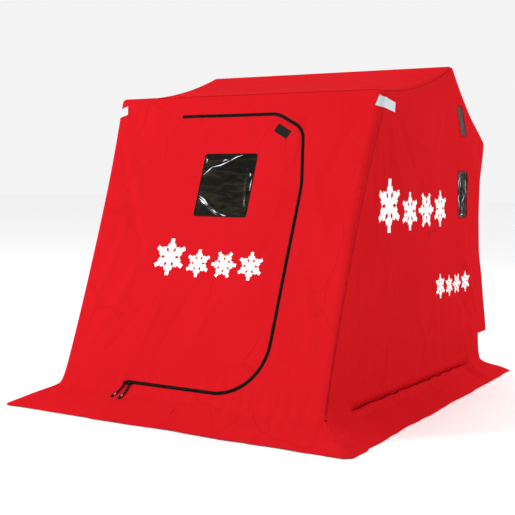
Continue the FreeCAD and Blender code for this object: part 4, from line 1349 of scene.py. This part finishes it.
def make_side_pane(side, kind, loop, sector):
    """A pane sewn behind an opening in the side wall, and the binding round it."""
    word = side_name(side)
    # only the window gets painted glints
    creases, depth = (SIDE_GLINTS, 0.0026) if kind == "window" else ([], 0.0006)

    def place(flat):
        points = side_point(flat, -0.0012)
        settled = 1 - near(distance_to(flat, divided(loop, 0.003, True)), 0.02)
        points[:, 0] += depth * settled * ripples(flat, 0.045, 70, 70, 71 + side)
        return points * np.array([side, 1, 1])

    flat, faces = net(loop, creases, spacing=0.006)
    faces = faces if side > 0 else faces[:, ::-1]
    if kind == "window":
        piece = make_pane(f"side_window_{word}_pane", (flat, faces), place, creases)
        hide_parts(f"side_window_{word}")
    else:
        piece = make_piece(f"side_vent_{word}_pane", place(flat), faces, [MESH])
        if side > 0:
            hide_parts("side_vents")
    declare_sheet(piece, flat, faces, [f"side_{word}_{sector}"])
    follow(piece, sector)
    edge = side_point(divided(np.vstack([loop, loop[:2]]), 0.008)) * np.array([side, 1, 1])
    binding = ribbon(f"side_{kind}_{word}_binding", edge,
                     np.tile([float(side), 0, 0], (len(edge), 1)), 0.006, 0.0002, STITCHED)
    follow(binding, sector)


# ------------------------------------------------------------------ roof and back

def make_across(name, node, leg_name, place, sector, rests_on):
    """A panel across the shell, along one leg of the shell's profile."""
    flat, faces = net(panel_outline(leg_name))
    points = place(flat)
    piece = make_piece(name, points, faces, [RED], normals=vertex_normals(points, faces))
    declare_sheet(piece, flat, faces, rests_on)
    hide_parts(node)
    follow(piece, sector)
    return piece


def make_roof():
    """The two roof panels, one on each side of the ridge bow."""
    make_across("roof_front_fabric", "roof_front_panel", "roof_front",
                lambda p: roof_point(p, "front", 81), "ridge_to_front",
                ["front_hoop", "ridge_hoop"])
    make_across("roof_rear_fabric", "roof_rear_panel", "roof_rear",
                lambda p: roof_point(p, "rear", 91), "rear_to_ridge",
                ["ridge_hoop", "rear_hoop"])


def make_back():
    """The back wall, from the rear bow down to the sled."""
    piece = make_across("back_wall_fabric", "back_wall", "back", back_point, "sled_to_rear",
                        ["rear_hoop", "rear_batten"])
    piece.data.flip_normals()


# ------------------------------------------------------------------ skirt

def skirt_stations(side):
    """The skirt's inner edge on the shell, its hem on the floor, and how it is creased there."""
    edge_x = float(panel_outline("front")[0, 0])
    xs = np.linspace(0, edge_x, 56)
    across = front_point(np.column_stack([xs * side, np.zeros(len(xs))]))
    stations = [(spot, (x * 1.03, SKIRT_FRONT)) for spot, x in zip(across, xs)]
    corner = across[-1]
    for k in range(1, 26):
        turn = math.pi / 2 * k / 26
        square = min(1 / max(math.cos(turn), math.sin(turn)), 1.30)
        reach_x, reach_y = SKIRT_HALF_WIDTH - edge_x, corner[1] - SKIRT_FRONT
        stations.append((corner, (edge_x + 0.010 + reach_x * math.sin(turn) * square,
                                  corner[1] - reach_y * math.cos(turn) * square)))
    low = foot_line(170)[::-1]
    along = side_point(low, seed=SIDE_SEEDS[side]) * np.array([side, 1, 1])
    for spot in along:
        outer_y = spot[1] + 0.21 * np.clip((spot[1] - 0.75) / (FOOT_REAR[0] - 0.75), 0, 1) ** 1.5
        stations.append((spot, (SKIRT_HALF_WIDTH, outer_y)))
    inner = np.array([spot for spot, _ in stations])
    hem = np.array([place for _, place in stations]) * np.array([side, 1])
    creased = np.where(np.arange(len(stations)) < len(stations) - len(along), 0,
                       crease(inner[:, 1]))
    return inner, hem, creased


def skirt_rows(inner, hem, creased, seed):
    """The skirt's points and their flat places, row by row from the shell to the hem."""
    run = np.concatenate([[0], np.cumsum(np.linalg.norm(np.diff(hem, axis=0), axis=1))])
    along = np.column_stack([run, np.zeros(len(run))])
    wander = 0.005 * ripples(along, 0.55, 90, 3, seed)
    wander += 0.0016 * ripples(along, 0.16, 90, 3, seed + 1)
    away = hem - inner[:, :2]
    away /= np.linalg.norm(away, axis=1)[:, None]
    hem = hem + away * np.clip(wander, -0.012, 0.012)[:, None]

    def soft(s):
        root = math.sqrt(s ** 2 + FOOT_SOFTNESS ** 2)
        return (s + root) / 2, (root - s) / 2

    up_0, out_0 = soft(0.0)
    out_1 = soft(-SKIRT_WIDTH)[1]
    points, flat = [], []
    for r in range(SKIRT_ROWS + 1):
        share = (r / SKIRT_ROWS) ** 1.4
        up, out = soft(-share * SKIRT_WIDTH)
        flowing = (out - out_0) / (out_1 - out_0)
        fall = (up - up_0) + SKIRT_SLOPE[1] * (out - out_0)
        end_fall = -up_0 + SKIRT_SLOPE[1] * (out_1 - out_0)
        smooth = inner[:, 2] + fall - share ** 2 * (inner[:, 2] + end_fall)
        tucked = inner[:, 2] * (1 - share) ** 1.35 + 0.020 * math.sin(math.pi * min(1, share / 0.20))
        z = smooth * (1 - creased) + tucked * creased
        reach = flowing * (1 - creased) + share * creased
        spot = inner[:, :2] + (hem - inner[:, :2]) * reach[:, None]
        place = np.column_stack([run, np.full(len(run), share * SKIRT_CUT_WIDTH)])
        lift = 0.006 * patches(place, 0.35, seed + 2) * math.sin(math.pi * share) ** 0.8
        lift = lift + 0.0012 * ripples(place, 0.075, 78, 14, seed + 3) * near(share, 0.75)
        lift = lift + 0.004 * share ** 3 * patches(place, 0.22, seed + 4)
        z = np.maximum(z + lift * smooth_step(share, 0, 0.05), 0.0012)
        points.append(np.column_stack([spot, z]))
        flat.append(place)
    return np.vstack(points), np.vstack(flat)


def make_skirt():
    """The skirt: a soft apron that lies out on the floor, in one ring cut at the sled."""
    for side in (1, -1):
        word = side_name(side)
        inner, hem, creased = skirt_stations(side)
        points, flat = skirt_rows(inner, hem, creased, 101 if side > 0 else 131)
        faces = np.array(strip_faces(SKIRT_ROWS + 1, len(inner)))
        where = points[faces, 1].mean(1)
        faces = faces[:, ::-1] if side > 0 else faces
        normals = vertex_normals(points, np.vstack([faces[:, :3], faces[:, [0, 2, 3]]]))
        for name, body, chosen, node in (
                (f"skirt_front_{word}", "ground_legs", where < SKIRT_SPLIT_Y, "skirt_front"),
                (f"skirt_side_{word}", "sled", where >= SKIRT_SPLIT_Y, f"skirt_{word}")):
            piece = make_piece(name, points, faces[chosen], [RED], normals=normals)
            used = np.vstack([faces[chosen][:, :3], faces[chosen][:, [0, 2, 3]]])
            declare_sheet(piece, flat, used, [node], held="laid")
            if node != "skirt_front" or side > 0:
                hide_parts(node)
            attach(piece, body)


# ------------------------------------------------------------------ tabs and seams

def make_tabs():
    """Reflective tabs round the front bow's corners: over the side, and on to the front."""
    for side, (front_end, corner_ends, side_end) in TABS.items():
        columns = tab_columns(np.array(front_end), corner_ends, np.array(side_end))
        rows = len(columns[0])
        order = [0, 3, 2, 1] if side > 0 else [1, 2, 3, 0]
        faces = np.array(strip_faces(len(columns), rows))[:, order]
        points = np.vstack(columns) * np.array([side, 1, 1])
        piece = make_piece(f"reflective_tab_{side_name(side)}", points, faces, [TAPE])
        if side > 0:
            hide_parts("reflective_tabs")
        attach(piece, "front_legs")


def tab_columns(front_end, corner_ends, side_end, rows=7, lift=0.0018):
    """Lines of points up a tab, from its end on the front, round the corner, to its side end."""
    up = np.linspace(*corner_ends, rows)
    base, normal = front_leg(up)
    inset = corner_inset(90, corner_round(base))
    corner = np.column_stack([shell_half(base) - inset, up])
    middle = base - normal * inset[:, None]
    start, far = np.linspace(*front_end, rows), np.linspace(*side_end, rows)
    columns = [front_point(start + (corner - start) * share, lift)
               for share in np.linspace(0, 1, 10)]
    columns += [side_point(middle + (far - middle) * share, lift)
                for share in np.linspace(0, 1, 18)[1:]]
    return columns


SEAM_WIDTH = 0.007
SEAM_SECTORS = {"front": "front_to_ground", "roof_front": "ridge_to_front",
                "roof_rear": "rear_to_ridge", "back": "sled_to_rear"}


def make_seams():
    """Felled seams, twice stitched, where the side walls meet the front, the roof and the back."""
    for name, sector in SEAM_SECTORS.items():
        base, normal = LEGS[name]
        if name == "front":
            # this seam lies at the side's end of the round, and starts just above the foot
            points = side_point(base - normal * corner_round(base)[:, None])[3:]
            outward = np.tile([1.0, 0, 0], (len(points), 1))
        else:
            drop = corner_inset(90, corner_round(base))
            points = np.column_stack([shell_half(base) - drop, base - normal * drop[:, None]])
            outward = np.column_stack([np.ones(len(base)), normal]) * math.sqrt(0.5)
        for side in (1, -1):
            mirror = np.array([side, 1, 1])
            piece = ribbon(f"seam_{name}_{side_name(side)}", points * mirror, outward * mirror,
                           SEAM_WIDTH, -0.0002, STITCHED, sag=0.0009)
            follow(piece, sector)
    for name, leg_name, body in (("front_bow", "front", "front_legs"),
                                 ("ridge", "roof_front", "ridge_legs")):
        base, normal = LEGS[leg_name]
        half = float(shell_half(base[-1:])[0]) - BOW_ROUND * 0.9
        xs = np.linspace(-half, half, 190)
        points = np.column_stack([xs, np.tile(base[-1], (len(xs), 1))])
        piece = ribbon(f"seam_{name}", points, np.tile([0, *normal[-1]], (len(xs), 1)),
                       SEAM_WIDTH, -0.0002, STITCHED, sag=0.0006)
        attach(piece, body)


# ------------------------------------------------------------------ seats

def pressed(mesh, cap, pressure=4.0, voxel=0.006, frames=20):
    """The mesh blown up as a padded cover by cloth simulation, moved by no more than the cap."""
    work = in_scene("pressed", mesh)
    grid = work.modifiers.new("grid", "REMESH")
    grid.mode, grid.voxel_size = "VOXEL", voxel
    work.data = applied_mesh(work)
    work.modifiers.clear()
    rest = np.array([v.co for v in work.data.vertices])
    cloth = work.modifiers.new("cloth", "CLOTH")
    cloth.settings.use_pressure = True
    cloth.settings.uniform_pressure_force = pressure
    cloth.settings.effector_weights.gravity = 0
    scene = bpy.context.scene
    cloth.point_cache.frame_end = frames
    for k in range(1, frames + 1):
        scene.frame_set(k)
    moved = np.array([v.co for v in applied_mesh(work).vertices])
    scene.frame_set(1)
    work.modifiers.clear()
    shift = moved - rest
    size = np.linalg.norm(shift, axis=1)[:, None]
    shift *= np.minimum(1, cap / (size + 1e-9))
    work.data.vertices.foreach_set("co", (rest + shift).ravel())
    finer = work.modifiers.new("finer", "SUBSURF")
    finer.levels = 1
    done = applied_mesh(work)
    bpy.data.objects.remove(work)
    return done


def tufted(mesh, axis, channels, depth, width, face):
    """Draws in sewn channels across a padded face, where one coordinate passes given places."""
    points = np.array([v.co for v in mesh.vertices])
    normals = np.array([v.normal for v in mesh.vertices])
    facing = np.clip(normals @ np.array(face), 0, 1)
    for place in channels:
        pull = np.exp(-((points[:, axis] - place) / width) ** 2) * depth * facing
        points -= np.array(face) * pull[:, None]
    mesh.vertices.foreach_set("co", points.ravel())
    mesh.update()


def dress_seat(mesh, name, node, body, move):
    """A copy of a pad, set in place on its seat."""
    piece = in_scene(name, mesh.copy())
    piece.data.materials.append(SEAT)
    piece.data.polygons.foreach_set("use_smooth", np.ones(len(piece.data.polygons), bool))
    piece.matrix_world = move
    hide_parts(node)
    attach(piece, body)


def make_seats():
    """Padded cushions and backs, made once and set at both seats."""
    low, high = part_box("seat_right_cushion")
    size = [high[k] - low[k] for k in range(3)]
    pad = box_mesh((size[0] - 0.012, size[1] - 0.012, size[2] - 0.010), 0.020, 4)
    cushion = pressed(pad, 0.008)
    tufted(cushion, 1, (-0.06, 0.06), 0.007, 0.006, (0, 0, 1))
    back_size = (0.365, 0.034, 0.405)
    back = pressed(box_mesh(back_size, 0.015, 4), 0.007)
    tufted(back, 2, (-0.07, 0.07), 0.006, 0.006, (0, -1, 0))
    for word in ("right", "left"):
        low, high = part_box(f"seat_{word}_cushion")
        middle = [(low[k] + high[k]) / 2 for k in range(3)]
        dress_seat(cushion, f"seat_{word}_cushion_pad", f"seat_{word}_cushion",
                   f"seat_{word}_swivel", Matrix.Translation(middle))
        low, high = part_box(f"seat_{word}_back")
        middle = [(low[k] + high[k]) / 2 for k in range(3)]
        lean = Matrix.Rotation(math.radians(-8), 4, "X")
        dress_seat(back, f"seat_{word}_back_pad", f"seat_{word}_back", f"seat_{word}_back",
                   Matrix.Translation(middle) @ lean)


# ------------------------------------------------------------------ stage, light and camera

def make_stage():
    """A wide white floor."""
    mesh = bpy.data.meshes.new("floor")
    mesh.from_pydata([(-30, -30, -0.0005), (30, -30, -0.0005), (30, 30, -0.0005),
                      (-30, 30, -0.0005)], [], [(0, 1, 2, 3)])
    floor = in_scene("floor", mesh)
    pale = Surface("floor_white", Roughness=0.9, Specular_IOR_Level=0.1)
    pale.colour(pale.ramp(pale.noise(3.0), [
        (0.2, (0.965, 0.965, 0.965)), (0.8, (0.985, 0.985, 0.985))]))
    mesh.materials.append(pale.material)


def area_light(name, place, target, size, power):
    """A square lamp that faces a target."""
    light = bpy.data.lights.new(name, "AREA")
    light.shape, light.size, light.energy = "SQUARE", size, power
    lamp = in_scene(name, light)
    lamp.location = place
    lamp.rotation_euler = (Vector(target) - Vector(place)).to_track_quat("-Z", "Y").to_euler()


def make_light():
    """A pale studio, with its key light low on the left so that folds show."""
    world = bpy.data.worlds.new("studio")
    world.use_nodes = True
    backdrop = world.node_tree.nodes["Background"]
    backdrop.inputs["Color"].default_value = (1.0, 1.0, 1.0, 1)
    backdrop.inputs["Strength"].default_value = 0.90
    bpy.context.scene.world = world
    bpy.context.scene.view_settings.view_transform = "Standard"
    area_light("key", (-8.2, -7.3, 4.9), (0, 0, 0.8), 2.4, 715)
    area_light("side", (2.8, 4.6, 3.3), (0.8, 0, 0.8), 1.6, 105)
    area_light("top", (0.3, 0.6, 6.0), (0, 0, 1.0), 3.0, 44)


def make_camera():
    """A long lens in front of the right corner, just above the door window."""
    camera = bpy.data.cameras.new("camera")
    camera.lens, camera.sensor_width = 71.83, 36.0
    camera.clip_end = 100
    eye = in_scene("camera", camera)
    eye.location = (2.764, -4.801, 1.193)
    eye.rotation_euler = (math.radians(90 - 5.0), 0, math.radians(31.02))
    bpy.context.scene.camera = eye


make_stage()
make_light()
make_camera()
finish_cad_nodes()
make_front()
make_zip()
make_slider("zip_slider_upper_pull", "zip_upper", "zip_slider_upper", DOOR_LEFT + 0.022,
            (-0.338, -0.062))
make_slider("zip_slider_lower_pull", "zip_lower", "zip_slider_lower", DOOR_LEFT - 0.004,
            (-0.390, -0.056))
make_patch()
make_side(1)
make_side(-1)
make_roof()
make_back()
make_skirt()
make_tabs()
make_seams()
make_seats()
